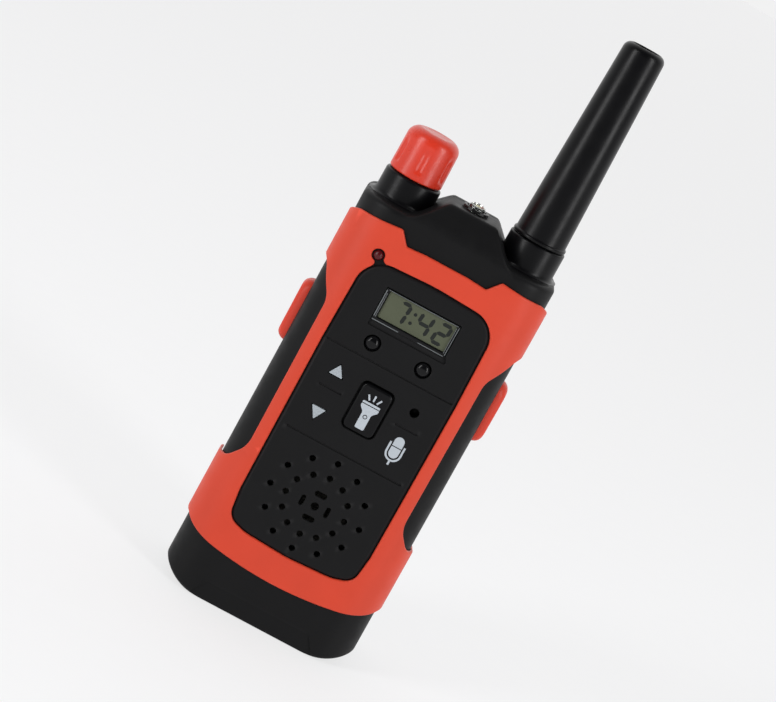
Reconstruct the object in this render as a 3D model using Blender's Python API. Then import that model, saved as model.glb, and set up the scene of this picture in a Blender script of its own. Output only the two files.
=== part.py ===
"""Toy walkie talkie: a handheld radio with an armour frame, clock, torch, knob and stub antenna.

The radio stands upright on its flat base. Its frame is +Z up, the front faces -Y, and the antenna is on
the +X side. Lengths below are millimetres; MM turns them into the scene's metres.
"""

import math

import bmesh
import bpy
from mathutils import Vector
from mathutils.geometry import delaunay_2d_cdt

MM = 0.001
GAP = 0.3

# Housing
TOP = 117.6
CORE_FRONT = -14.45
CORE_BACK = 15.5
CORE_CORNER = 10.2
CORE_HALF_TOP = 27.7
CORE_HALF_GROWTH = 0.6 / 89.0
GROWTH_FROM = 113.0
CORE_MIDDLE = (CORE_FRONT + CORE_BACK) / 2
CORE_HALF_DEPTH = (CORE_BACK - CORE_FRONT) / 2
WALL = 1.6
BOTTOM_EDGE = 1.3
TOP_EDGE = 1.5
SPLIT = 3.0
BASE_FLAT = 15.0
BASE_CURVE = 0.022
CAVITY_BACK = 12.0

# Armour frame and face panel
ARMOUR_INNER = 0.3
ARMOUR_OUTER = 1.05
ARMOUR_FOOT = 13.68
ARMOUR_FOOT_CURVE = 0.0051
ARMOUR_SIDE_END = 43.0
FRONT = CORE_FRONT - ARMOUR_OUTER
PANEL_BACK = CORE_FRONT - GAP
PANEL_GAP = 0.5

# Front controls, as (x, z) on the face
SPEAKER_AT = (0.0, 38.5)
SPEAKER_RINGS = ((13.15, 12, 0.85), (8.6, 12, 0.85), (3.7, 4, 0.9), (0.0, 1, 1.1))
CLOCK_BUTTONS = {"clock_mode_button": (-7.3, 84.45), "clock_set_button": (7.3, 84.45)}
CLOCK_BUTTON_RADIUS = 1.95
LCD_LOW = (-10.8, 89.9)
LCD_HIGH = (10.8, 99.7)
TORCH_KEY_HALF = 4.3
TORCH_KEY_Z = (61.7, 74.8)
UP_KEY = ((-11.65, 75.6), (-13.66, 72.2), (-9.6, 72.2))
DOWN_KEY = ((-11.4, 59.2), (-9.35, 62.85), (-13.45, 62.85))
KEY_FLANGE = (-12.3, -11.9)
MIC_AT = (10.8, 73.4)
MIC_HOLE = 1.28
POWER_LED_AT = (-16.65, 105.3)
POWER_LED_RADIUS = 1.3

# Top
KNOB_X = -17.8
KNOB_RADIUS = 7.4
KNOB_Z = (124.9, 137.3)
COLLAR_RADIUS = 7.9
ANTENNA_X = 18.1
ANTENNA_TIP = 181.4
ANTENNA_FOOT = 125.7
TORCH_Y = -3.0
HUMP_TOP = 124.8

# Side buttons
PTT_Z = (70.4, 88.4)
PTT_HALF_Y = 4.2
PTT_OUT = 30.4

# Batteries, AAA
CELL_RADIUS = 5.2
CELL_XS = (-11.2, 0.0, 11.2)
CELL_Y = 8.7
CELL_LENGTH = 44.5
TRAY_MIDDLE_Z = 35.8
TRAY_HALF_X = 18.4
TRAY_HALF_Z = 27.8
TRAY_WALL = 1.2
DOOR_HALF = 18.2
DOOR_TOP = 64.0

# Belt clip
PIN_Y = 19.6
PIN_Z = 103.0
PIN_RADIUS = 1.0
CLIP_HALF = 9.0
LUG_OUT = 11.3

# Each screw's x and z, and where its boss starts and ends along Y
SCREWS = (
    (-8.0, 112.0, -13.6, 14.5),
    (8.0, 112.0, -13.6, 14.5),
    (-22.0, 8.5, -11.5, 12.5),
    (22.0, 8.5, -11.5, 12.5),
)
SCREW_HEAD = 2.2
SCREW_SHANK = 1.1
BOSS_RADIUS = 3.0
ROUND_STEPS = 24

MATERIALS = {
    "black_plastic": ((0.018, 0.018, 0.019), 0.55, 0.0),
    "gloss_black": ((0.012, 0.012, 0.013), 0.2, 0.0),
    "orange_plastic": ((0.60, 0.085, 0.035), 0.42, 0.0),
    "white_plastic": ((0.62, 0.66, 0.72), 0.5, 0.0),
    "clear_plastic": ((0.75, 0.78, 0.78), 0.08, 0.0),
    "lcd_glass": ((0.20, 0.22, 0.16), 0.2, 0.0),
    "red_lens": ((0.22, 0.01, 0.012), 0.15, 0.0),
    "board_green": ((0.02, 0.16, 0.06), 0.5, 0.0),
    "bright_metal": ((0.72, 0.72, 0.70), 0.3, 1.0),
    "dark_metal": ((0.12, 0.12, 0.12), 0.4, 1.0),
    "battery_wrap": ((0.10, 0.22, 0.36), 0.4, 0.0),
    "paper_cone": ((0.05, 0.05, 0.045), 0.9, 0.0),
    "soft_rubber": ((0.03, 0.03, 0.03), 0.8, 0.0),
    "red_wire": ((0.45, 0.02, 0.02), 0.5, 0.0),
}


def clear_scene():
    """Removes every object that a new file holds."""
    for item in list(bpy.data.objects):
        bpy.data.objects.remove(item, do_unlink=True)


def make_material(name):
    """One Principled material of the table above."""
    colour, roughness, metallic = MATERIALS[name]
    material = bpy.data.materials.get(name) or bpy.data.materials.new(name)
    material.use_nodes = True
    shader = material.node_tree.nodes["Principled BSDF"]
    shader.inputs["Base Color"].default_value = (*colour, 1.0)
    shader.inputs["Roughness"].default_value = roughness
    shader.inputs["Metallic"].default_value = metallic
    return material


def is_flat(face):
    """Whether all corners of a face lie in one plane, to a thousandth of a millimetre."""
    middle = face.calc_center_median()
    return all(abs((vert.co - middle).dot(face.normal)) < 1e-6 for vert in face.verts)


def make_object(name, shape, material, origin=(0.0, 0.0, 0.0), smooth=True):
    """An object of one (points, faces) shape in millimetres, with its origin at the given point."""
    points, faces = shape
    start = Vector(origin)
    mesh = bpy.data.meshes.new(name)
    mesh.from_pydata([(Vector(p) - start) * MM for p in points], [], faces)
    mesh.validate()
    body = bmesh.new()
    body.from_mesh(mesh)
    body.normal_update()
    bmesh.ops.remove_doubles(body, verts=body.verts, dist=1e-7)
    uneven = [face for face in body.faces if len(face.verts) == 4 and not is_flat(face)]
    bmesh.ops.triangulate(body, faces=uneven)
    bmesh.ops.recalc_face_normals(body, faces=body.faces)
    body.to_mesh(mesh)
    body.free()
    if smooth:
        mesh.shade_smooth()
        mesh.set_sharp_from_angle(angle=math.radians(35))
    item = bpy.data.objects.new(name, mesh)
    item.location = start * MM
    item.data.materials.append(make_material(material))
    bpy.context.collection.objects.link(item)
    return item


def make_guide(name, shapes):
    """A hidden object of one or more shapes, for a Boolean to use."""
    points = []
    faces = []
    for more_points, more_faces in shapes:
        shift = len(points)
        points.extend(more_points)
        faces.extend([tuple(i + shift for i in face) for face in more_faces])
    guide = make_object(name, (points, faces), "black_plastic", smooth=False)
    guide.hide_render = True
    guide.display_type = "WIRE"
    return guide


def combine(item, operation, guide):
    """Adds a Boolean of the guide to an object."""
    step = item.modifiers.new(guide.name, "BOOLEAN")
    step.operation = operation
    step.object = guide
    step.solver = "EXACT"


def box(low, high):
    """A box between two corners."""
    points = [(x, y, z) for z in (low[2], high[2]) for y in (low[1], high[1]) for x in (low[0], high[0])]
    faces = [(0, 2, 3, 1), (4, 5, 7, 6), (0, 1, 5, 4), (2, 6, 7, 3), (0, 4, 6, 2), (1, 3, 7, 5)]
    return points, faces


def loft(rings, strips=False):
    """A closed solid through rings of equal length, each end closed by one flat cap or by strips."""
    count = len(rings[0])
    points = [p for ring in rings for p in ring]
    faces = []
    for level in range(len(rings) - 1):
        for i in range(count):
            j = (i + 1) % count
            a = level * count
            faces.append((a + i, a + j, a + count + j, a + count + i))
    top = len(points) - count
    if not strips:
        faces.append(tuple(reversed(range(count))))
        faces.append(tuple(range(top, len(points))))
        return points, faces
    half = count // 2
    pairs = [(i, half - 1 - i) for i in range(half // 2)]
    pairs = [(count - 1 - front, half * 2 - 1 - back) for front, back in reversed(pairs)] + pairs
    for (front, back), (next_front, next_back) in zip(pairs, pairs[1:]):
        faces.append((front, back, next_back, next_front))
        faces.append((top + next_front, top + next_back, top + back, top + front))
    return points, faces


def turned(profile, centre, axis, steps=ROUND_STEPS):
    """A solid turned about an axis through centre: profile is a loop of (radius, distance along the axis)."""
    side, up, along = {
        "X": (Vector((0, 1, 0)), Vector((0, 0, 1)), Vector((1, 0, 0))),
        "Y": (Vector((0, 0, 1)), Vector((1, 0, 0)), Vector((0, 1, 0))),
        "Z": (Vector((1, 0, 0)), Vector((0, 1, 0)), Vector((0, 0, 1))),
    }[axis]
    points = []
    columns = []
    for radius, height in profile:
        base = Vector(centre) + along * height
        if radius < 1e-6:
            points.append(base)
            columns.append([len(points) - 1] * steps)
            continue
        first = len(points)
        for i in range(steps):
            angle = math.tau * i / steps
            points.append(base + side * radius * math.cos(angle) + up * radius * math.sin(angle))
        columns.append(list(range(first, first + steps)))
    faces = []
    for level in range(len(profile)):
        here = columns[level]
        above = columns[(level + 1) % len(profile)]
        for i in range(steps):
            j = (i + 1) % steps
            corner = []
            for index in (here[i], here[j], above[j], above[i]):
                if index not in corner:
                    corner.append(index)
            if len(corner) > 2:
                faces.append(tuple(corner))
    return points, faces


def rod(centre, axis, radius, low, high, steps=ROUND_STEPS):
    """A plain round rod from low to high along an axis."""
    return turned([(0, low), (radius, low), (radius, high), (0, high)], centre, axis, steps)


def tube(centre, axis, outer, inner, low, high, steps=ROUND_STEPS):
    """A plain tube from low to high along an axis."""
    return turned([(inner, low), (outer, low), (outer, high), (inner, high)], centre, axis, steps)


def rounded(corners, steps=5):
    """An outline through corners of (x, y, radius), each turned with an arc of its own radius."""
    outline = []
    count = len(corners)
    for i, (x, y, radius) in enumerate(corners):
        here = Vector((x, y))
        if radius <= 0:
            outline.append((x, y))
            continue
        before = Vector(corners[i - 1][:2]) - here
        after = Vector(corners[(i + 1) % count][:2]) - here
        before.normalize()
        after.normalize()
        half = before.angle(after) / 2
        reach = radius / math.tan(half)
        middle = here + (before + after).normalized() * radius / math.sin(half)
        start = here + before * reach - middle
        sweep = (here + after * reach - middle).angle_signed(start)
        for step in range(steps + 1):
            angle = sweep * step / steps
            turn = Vector((
                start.x * math.cos(angle) - start.y * math.sin(angle),
                start.x * math.sin(angle) + start.y * math.cos(angle),
            ))
            outline.append(tuple(middle + turn))
    return outline


def offset(outline, distance):
    """The outline moved outwards by a distance; it runs counter-clockwise."""
    moved = []
    count = len(outline)
    for i in range(count):
        before = Vector(outline[i - 1])
        after = Vector(outline[(i + 1) % count])
        run = (after - before).normalized()
        moved.append((outline[i][0] + run.y * distance, outline[i][1] - run.x * distance))
    return moved


def divided(outline, longest, low=0.0, high=1e9):
    """The outline with points added, so that no edge between two distances |x| is longer than longest."""
    points = []
    count = len(outline)
    for i in range(count):
        here = Vector(outline[i])
        after = Vector(outline[(i + 1) % count])
        pieces = 1
        if max(abs(here.x), abs(after.x)) > low and min(abs(here.x), abs(after.x)) < high:
            pieces = max(1, math.ceil(abs(after.x - here.x) / longest))
        points.extend([tuple(here.lerp(after, step / pieces)) for step in range(pieces)])
    return points


def ring_of(centre, radius, steps):
    """A circle as an outline."""
    angles = [math.tau * i / steps for i in range(steps)]
    return [(centre[0] + radius * math.cos(angle), centre[1] + radius * math.sin(angle)) for angle in angles]


def inside(point, outline):
    """Whether a point lies inside an outline."""
    crossings = 0
    count = len(outline)
    for i in range(count):
        (x1, y1), (x2, y2) = outline[i], outline[(i + 1) % count]
        if (y1 > point[1]) != (y2 > point[1]):
            if point[0] < (x2 - x1) * (point[1] - y1) / (y2 - y1) + x1:
                crossings += 1
    return crossings % 2 == 1


def plate(outline, holes, outer_map, inner_map, spare=()):
    """A plate with holes: its flat outline is laid on two surfaces, and walls close every edge."""
    loops = [outline, *holes]
    flat = [Vector(p) for loop in loops for p in loop]
    edges = []
    start = 0
    for loop in loops:
        edges.extend([(start + i, start + (i + 1) % len(loop)) for i in range(len(loop))])
        start += len(loop)
    flat.extend([Vector(p) for p in spare])
    made, _, triangles, _, _, _ = delaunay_2d_cdt(flat, edges, [], 0, 1e-6)
    faces = []
    for a, b, c in triangles:
        middle = (made[a] + made[b] + made[c]) / 3
        if inside(middle, outline) and not any(inside(middle, hole) for hole in holes):
            faces.append((a, b, c))
    count = len(made)
    points = [outer_map(p.x, p.y) for p in made] + [inner_map(p.x, p.y) for p in made]
    solid = list(faces)
    solid.extend([(c + count, b + count, a + count) for a, b, c in faces])
    sides = {}
    for a, b, c in faces:
        for pair in ((a, b), (b, c), (c, a)):
            sides[pair] = True
    for a, b in sides:
        if (b, a) not in sides:
            solid.append((b, a, a + count, b + count))
    used = sorted({i for face in solid for i in face})
    index = {old: new for new, old in enumerate(used)}
    return [points[i] for i in used], [tuple(index[i] for i in face) for face in solid]


def face_slab(outline, holes, front, back):
    """A flat plate in the face's plane, between two distances along Y."""
    return plate(outline, holes, lambda x, z: (x, front, z), lambda x, z: (x, back, z))


def half_width(z):
    """The housing's half width, which grows a little towards the base."""
    return CORE_HALF_TOP + CORE_HALF_GROWTH * (GROWTH_FROM - z)


def section(z, inset, arc_steps=6):
    """The housing's rounded-rectangle section at a height, set in by a distance."""
    half_x = half_width(z) - inset
    half_y = CORE_HALF_DEPTH - inset
    corner = max(CORE_CORNER - inset, 1.0)
    quarter = [(BASE_FLAT, -half_y), (BASE_FLAT + 1.5, -half_y)]
    for step in range(arc_steps + 1):
        angle = math.pi / 2 * step / arc_steps
        x = half_x - corner + corner * math.sin(angle)
        quarter.append((x, -half_y + corner - corner * math.cos(angle)))
    right = quarter + [(x, -y) for x, y in reversed(quarter)]
    outline = right + [(-x, y) for x, y in reversed(right)]
    return [(x, y + CORE_MIDDLE) for x, y in outline]


def base_height(x):
    """How far the base curves up at a distance from the middle."""
    past = max(abs(x) - BASE_FLAT, 0.0)
    return BASE_CURVE * past * past


def housing_block(inset, low, high):
    """The housing's outer or inner solid, with rounded edges at both ends and the base's curve."""
    rings = []
    bottom_edge = max(BOTTOM_EDGE - inset, 0.6)
    top_edge = max(TOP_EDGE - inset, 0.6)
    edge_steps = 3
    for step in range(edge_steps + 1):
        angle = math.pi / 2 * step / edge_steps
        rings.append((low + bottom_edge * (1 - math.cos(angle)), bottom_edge * (1 - math.sin(angle))))
    for step in range(edge_steps + 1):
        angle = math.pi / 2 * step / edge_steps
        rings.append((high - top_edge * (1 - math.sin(angle)), top_edge * (1 - math.cos(angle))))
    solid = []
    fade = 14.0
    for z, edge in rings:
        outline = section(z, inset + edge)
        share = max(0.0, 1.0 - (z - low) / fade)
        solid.append([(x, y, z + base_height(x) * share) for x, y in outline])
    return loft(solid, strips=True)


def hump_block(inset):
    """The raised torch hump on top, which leans back and narrows upwards."""
    levels = (
        (TOP - 3.5, 13.6, -13.0, 9.0),
        (TOP + 0.6, 13.0, -13.0, 9.0),
        (122.0, 9.4, -11.7, 7.4),
        (HUMP_TOP, 6.7, -9.6, 5.6),
    )
    rings = []
    for z, half, front, back in levels:
        height = z - inset if z > TOP else z
        half_x = half - inset
        rings.append([
            (-half_x, front + inset, height),
            (half_x, front + inset, height),
            (half_x, back - inset, height),
            (-half_x, back - inset, height),
        ])
    return loft(rings)


def make_housing():
    """Front and rear shells: one hollow block, cut in two on a plane, with screw bosses and openings."""
    outer = housing_block(0.0, 0.0, TOP)
    inner = housing_block(WALL, WALL + GAP, TOP - WALL)
    hump = make_guide("hump_outside", [hump_block(0.0)])
    combine(hump, "DIFFERENCE", make_guide("collar_room", collar_room(COLLAR_RADIUS + 0.9)))
    hollow = make_guide("hollow_inside", [inner])
    keep_back = make_guide("thick_back_keeper", [box((-40, CAVITY_BACK, -5), (40, 30, 150))])
    combine(hollow, "DIFFERENCE", keep_back)
    hump_hollow = make_guide("hump_inside", [hump_block(WALL)])
    combine(hump_hollow, "DIFFERENCE", make_guide("collar_walls", collar_room(COLLAR_RADIUS + 0.9 + WALL)))
    back_hollow = make_guide("back_hollow", [box((-21, CAVITY_BACK - 1, 66.5), (21, CORE_BACK - WALL, 114))])
    for name, low, high in (("front_housing", -40.0, SPLIT), ("rear_housing", SPLIT + GAP, 40.0)):
        shell = make_object(name, outer, "black_plastic")
        combine(shell, "UNION", hump)
        combine(shell, "DIFFERENCE", hollow)
        combine(shell, "DIFFERENCE", hump_hollow)
        combine(shell, "DIFFERENCE", back_hollow)
        bosses = [rod((x, 0, z), "Y", BOSS_RADIUS, start, end, 12) for x, z, start, end in SCREWS]
        combine(shell, "UNION", make_guide(f"{name}_bosses", bosses))
        half = make_guide(f"{name}_half", [box((-60, low, -20), (60, high, 200))])
        combine(shell, "INTERSECT", half)
        if name == "front_housing":
            combine(shell, "DIFFERENCE", make_guide("front_openings", front_openings()))
            bores = [rod((x, 0, z), "Y", SCREW_SHANK + GAP, -8, 5, 12) for x, z, _, _ in SCREWS]
            combine(shell, "DIFFERENCE", make_guide("front_bores", bores))
        else:
            combine(shell, "DIFFERENCE", make_guide("door_recess", [
                box((-DOOR_HALF - GAP, CORE_BACK - 1.7, -3), (DOOR_HALF + GAP, 20, DOOR_TOP + GAP)),
            ]))
            combine(shell, "DIFFERENCE", make_guide("battery_opening", [
                box((-17.2, 10, 9.3), (17.2, 18, 62.3)),
            ]))
            narrow = SCREW_SHANK + GAP
            wide = SCREW_HEAD + GAP
            profile = [(0, 0), (narrow, 0), (narrow, 9.3), (wide, 9.3), (wide, 17), (0, 17)]
            bores = [turned(profile, (x, 0, z), "Y", 16) for x, z, _, _ in SCREWS]
            combine(shell, "DIFFERENCE", make_guide("rear_bores", bores))
        combine(shell, "DIFFERENCE", make_guide(f"{name}_side_slots", side_slots()))
        combine(shell, "DIFFERENCE", make_guide(f"{name}_top_holes", top_holes()))


def collar_room(radius):
    """Round posts that keep the hump clear of the knob's and the antenna's collars."""
    return [rod((x, 0, 0), "Z", radius, TOP - 6, TOP + 12, 28) for x in (KNOB_X, ANTENNA_X)]


def front_openings():
    """What the front wall is cut through for: display, keys, loudspeaker, microphone and lamp."""
    deep = (CORE_FRONT - 2, CORE_FRONT + WALL + 1)
    shapes = [
        box(
            (LCD_LOW[0] - GAP, deep[0], LCD_LOW[1] - 2 * GAP),
            (LCD_HIGH[0] + GAP, deep[1], LCD_HIGH[1] + 2 * GAP),
        ),
        box(
            (-TORCH_KEY_HALF - GAP, deep[0], TORCH_KEY_Z[0] - GAP),
            (TORCH_KEY_HALF + GAP, deep[1], TORCH_KEY_Z[1] + GAP),
        ),
        rod((SPEAKER_AT[0], 0, SPEAKER_AT[1]), "Y", 13.9, *deep),
        rod((MIC_AT[0], 0, MIC_AT[1]), "Y", 1.5, *deep, 12),
        rod((POWER_LED_AT[0], 0, POWER_LED_AT[1]), "Y", POWER_LED_RADIUS + GAP, *deep, 16),
    ]
    for x, z in CLOCK_BUTTONS.values():
        shapes.append(rod((x, 0, z), "Y", CLOCK_BUTTON_RADIUS + GAP, *deep, 16))
    for key in (UP_KEY, DOWN_KEY):
        shapes.append(face_slab(grown_triangle(key, GAP), [], *deep))
    return shapes


def side_slots():
    """The slots in the side walls that the push-to-talk buttons slide in."""
    slots = []
    for side in (-1, 1):
        near, far = sorted((side * 20.5, side * 31.5))
        slots.append(box(
            (near, -PTT_HALF_Y - GAP, PTT_Z[0] - GAP),
            (far, PTT_HALF_Y + GAP, PTT_Z[1] + GAP),
        ))
    return slots


def top_holes():
    """Round holes in the top for the knob's bush, the antenna's foot and the torch lamp."""
    return [
        rod((KNOB_X, 0, 0), "Z", 4.3, TOP - 4, TOP + 2, 20),
        rod((ANTENNA_X, 0, 0), "Z", 4.8, TOP - 4, TOP + 2, 20),
        rod((0, TORCH_Y, 0), "Z", 2.8, HUMP_TOP - 4, HUMP_TOP + 2, 20),
    ]


def surface(u, z, lift):
    """A point on the housing's surface: u runs round it from the front's middle, lift stands off it."""
    side = 1 if u >= 0 else -1
    distance = abs(u)
    flat = half_width(z) - CORE_CORNER
    quarter = CORE_CORNER * math.pi / 2
    if distance <= flat:
        return (side * distance, CORE_FRONT - lift, z)
    if distance <= flat + quarter:
        angle = (distance - flat) / CORE_CORNER
        reach = CORE_CORNER + lift
        x = flat + reach * math.sin(angle)
        return (side * x, CORE_FRONT + CORE_CORNER - reach * math.cos(angle), z)
    return (side * (half_width(z) + lift), CORE_FRONT + CORE_CORNER + distance - flat - quarter, z)


def armour_outline():
    """The armour's edge as (u, z): notched top, swept side windows that open to the rear, curved bottom."""
    end = ARMOUR_SIDE_END
    right = [
        (u, ARMOUR_FOOT + ARMOUR_FOOT_CURVE * u * u, 0.0) for u in range(2, 31, 2)
    ]
    right += [
        (end, 18.4, 2.0), (end, 35.2, 2.0), (27.4, 38.0, 6.0), (22.8, 43.6, 8.0),
        (22.8, 88.9, 6.0), (29.2, 97.0, 5.0), (end, 97.2, 2.0), (end, 107.0, 3.0), (33.5, 110.8, 8.0),
        (27.0, 112.85, 8.0), (20.0, 113.5, 8.0), (14.25, 114.1, 0.8), (11.35, 110.6, 0.8),
        (6.0, 111.0, 8.0),
    ]
    left = [(-u, z, radius) for u, z, radius in reversed(right)]
    return rounded([(0.0, ARMOUR_FOOT, 0.0), *right, *left], 4)


def panel_outline():
    """The face panel's edge: slightly arched ends, large top corners and tucked-in bottom corners."""
    right = [
        (12.8, 23.3, 12.0), (18.1, 25.0, 3.8), (18.95, 33.0, 8.0), (18.95, 80.0, 10.0), (18.35, 103.75, 7.0),
    ]
    left = [(-x, z, radius) for x, z, radius in reversed(right)]
    return rounded([(0.0, 22.55, 40.0), *right, (0.0, 104.6, 60.0), *left], 4)


def make_armour():
    """The orange frame, one curved plate over the front and sides."""
    outline = divided(armour_outline(), 2.2, 17.0, 34.0)
    hole = offset(panel_outline(), PANEL_GAP)
    lamp = ring_of(POWER_LED_AT, POWER_LED_RADIUS + 0.5, 14)
    spare = []
    for side in (-1, 1):
        for u in (19.8, 22.0, 24.2, 26.4, 28.6, 30.8, 33.5, 38.0):
            for z in range(16, 113, 4):
                if inside((side * u, z), outline) and not inside((side * u, z), hole):
                    spare.append((side * u, float(z)))
    shape = plate(
        outline,
        [hole, lamp],
        lambda u, z: surface(u, z, ARMOUR_OUTER),
        lambda u, z: surface(u, z, ARMOUR_INNER),
        spare,
    )
    make_object("armour_bezel", shape, "orange_plastic")


def key_middle(key):
    """The middle of a triangular key."""
    return (sum(p[0] for p in key) / 3, sum(p[1] for p in key) / 3)


def speaker_holes():
    """Rings of small holes in front of the loudspeaker."""
    holes = []
    for ring_radius, count, hole_radius in SPEAKER_RINGS:
        for i in range(count):
            angle = math.tau * i / count
            middle = (
                SPEAKER_AT[0] + ring_radius * math.cos(angle),
                SPEAKER_AT[1] + ring_radius * math.sin(angle),
            )
            holes.append(ring_of(middle, hole_radius, 8))
    return holes


def rectangle(low, high, radius, steps=3):
    """A rounded rectangle as an outline."""
    return rounded([(low[0], low[1], radius), (high[0], low[1], radius),
                    (high[0], high[1], radius), (low[0], high[1], radius)], steps)


def make_face():
    """The face panel and everything set in it."""
    holes = speaker_holes()
    key_low = (-TORCH_KEY_HALF, TORCH_KEY_Z[0])
    key_high = (TORCH_KEY_HALF, TORCH_KEY_Z[1])
    for low, high, radius in ((LCD_LOW, LCD_HIGH, 0.8), (key_low, key_high, 1.6)):
        holes.append(rectangle((low[0] - GAP, low[1] - GAP), (high[0] + GAP, high[1] + GAP), radius))
    holes.append(ring_of(MIC_AT, MIC_HOLE, 14))
    for at in CLOCK_BUTTONS.values():
        holes.append(ring_of(at, CLOCK_BUTTON_RADIUS + GAP, 16))
    for key in (UP_KEY, DOWN_KEY):
        holes.append(grown_triangle(key, GAP))
    make_object("face_panel", face_slab(panel_outline(), holes, FRONT, PANEL_BACK), "black_plastic")

    window = face_slab(rectangle(LCD_LOW, LCD_HIGH, 0.6), [], FRONT + 0.05, PANEL_BACK)
    make_object("lcd_window", window, "clear_plastic", smooth=False)
    display = box(
        (LCD_LOW[0] + 0.2, CORE_FRONT, LCD_LOW[1] - 0.2),
        (LCD_HIGH[0] - 0.2, -12.0, LCD_HIGH[1] + 0.2),
    )
    make_object("lcd_module", display, "lcd_glass", smooth=False)

    for name, (x, z) in CLOCK_BUTTONS.items():
        radius = CLOCK_BUTTON_RADIUS
        profile = [(0, -16.1), (radius * 0.6, -15.95), (radius * 0.92, -15.5), (radius, -15.0)]
        profile += [(radius, -12.2), (radius + 0.7, -12.2), (radius + 0.7, -11.8), (0, -11.8)]
        make_object(name, turned(profile, (x, 0, z), "Y", 16), "gloss_black", (x, -14.0, z))

    middle_z = sum(TORCH_KEY_Z) / 2
    rings = []
    for grow, y in ((0.0, KEY_FLANGE[0] + 0.1), (0.0, FRONT - 0.3), (-0.5, FRONT - 0.7)):
        low = (key_low[0] - grow, key_low[1] - grow)
        high = (key_high[0] + grow, key_high[1] + grow)
        rings.append([(x, y, z) for x, z in rectangle(low, high, 1.3)])
    torch_key = make_object("torch_key", loft(rings), "gloss_black", (0, -14.0, middle_z))
    flange = box(
        (key_low[0] - 1, KEY_FLANGE[0], key_low[1] - 1),
        (key_high[0] + 1, KEY_FLANGE[1], key_high[1] + 1),
    )
    combine(torch_key, "UNION", make_guide("torch_key_flange", [flange]))

    for name, key in (("up_key", UP_KEY), ("down_key", DOWN_KEY)):
        x, z = key_middle(key)
        top = face_slab(grown_triangle(key, 0.0), [], FRONT - 0.1, KEY_FLANGE[0] + 0.1)
        item = make_object(name, top, "white_plastic", (x, -14.0, z), smooth=False)
        combine(item, "UNION", make_guide(f"{name}_flange", [rod((x, 0, z), "Y", 3.2, *KEY_FLANGE, 16)]))


def area(outline):
    """Signed area of an outline, positive when it runs counter-clockwise."""
    count = len(outline)
    return sum(
        outline[i][0] * outline[(i + 1) % count][1] - outline[(i + 1) % count][0] * outline[i][1]
        for i in range(count)
    ) / 2


def grown_triangle(key, distance):
    """A triangle moved outwards on every side, counter-clockwise."""
    x, z = key_middle(key)
    sides = [math.dist(key[i], key[(i + 1) % 3]) for i in range(3)]
    inner_radius = 2 * abs(area(key)) / sum(sides)
    centre_x = sum(sides[(i + 1) % 3] * key[i][0] for i in range(3)) / sum(sides)
    centre_z = sum(sides[(i + 1) % 3] * key[i][1] for i in range(3)) / sum(sides)
    scale = (inner_radius + distance) / inner_radius
    grown = [(centre_x + (a - centre_x) * scale, centre_z + (b - centre_z) * scale) for a, b in key]
    return grown if area(grown) > 0 else list(reversed(grown))


def make_boards():
    """Circuit boards, switches, clock cell, chip, microphone and lamps inside the housing."""
    make_object("clock_board", box((-13, -11.1, 81.5), (13, -10.3, 102)), "board_green", smooth=False)
    make_object("clock_cell", rod((0, 0, 93), "Y", 5.8, -10.0, -4.9), "bright_metal")
    make_object("key_board", box((-17, -9.6, 57), (17, -8.6, 79.5)), "board_green", smooth=False)
    make_object("main_board", box((-21, -4.4, 62), (21, -3.3, 103)), "board_green", smooth=False)
    make_object("radio_chip", box((-5, -3.0, 80), (5, -1.4, 90)), "gloss_black", smooth=False)
    switches = {
        "key_switch_up": key_middle(UP_KEY),
        "key_switch_down": key_middle(DOWN_KEY),
        "key_switch_torch": (0.0, sum(TORCH_KEY_Z) / 2),
    }
    for name, (x, z) in switches.items():
        switch = box((x - 2.2, -11.2, z - 2.2), (x + 2.2, -9.9, z + 2.2))
        make_object(name, switch, "dark_metal", smooth=False)
    centre = (MIC_AT[0], 0, MIC_AT[1])
    make_object("mic_capsule", rod(centre, "Y", 2.9, -11.4, -9.9, 18), "bright_metal")
    make_object("mic_gasket", tube(centre, "Y", 3.2, 1.4, -12.3, -11.7, 18), "soft_rubber")
    x, z = POWER_LED_AT
    radius = POWER_LED_RADIUS
    lamp = [(0, -16.1), (radius * 0.55, -15.9), (radius * 0.9, -15.5), (radius, -15.0)]
    lamp += [(radius, -11.6), (0, -11.6)]
    make_object("power_led", turned(lamp, (x, 0, z), "Y", 16), "red_lens")
    for side, name in ((-1, "ptt_switch_left"), (1, "ptt_switch_right")):
        low, high = sorted((side * 18.0, side * 22.6))
        make_object(name, box((low, -3.0, 76.4), (high, 3.0, 82.4)), "dark_metal", smooth=False)


def make_speaker():
    """A small round loudspeaker behind the face: basket, paper cone and magnet."""
    centre = (SPEAKER_AT[0], 0, SPEAKER_AT[1])
    basket = [(14.4, -12.3), (14.4, -11.4), (9.2, -7.4), (3.0, -7.4), (3.0, -8.0), (8.8, -8.0)]
    basket += [(13.0, -11.5), (13.0, -12.3)]
    make_object("speaker_frame", turned(basket, centre, "Y", 32), "dark_metal")
    cone = [(0, -9.9), (2.6, -9.1), (12.6, -12.0), (12.6, -11.7), (2.7, -8.6), (0, -9.4)]
    make_object("speaker_cone", turned(cone, centre, "Y", 28), "paper_cone")
    make_object("speaker_magnet", rod(centre, "Y", 8.0, -7.1, -3.0), "dark_metal")


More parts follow.
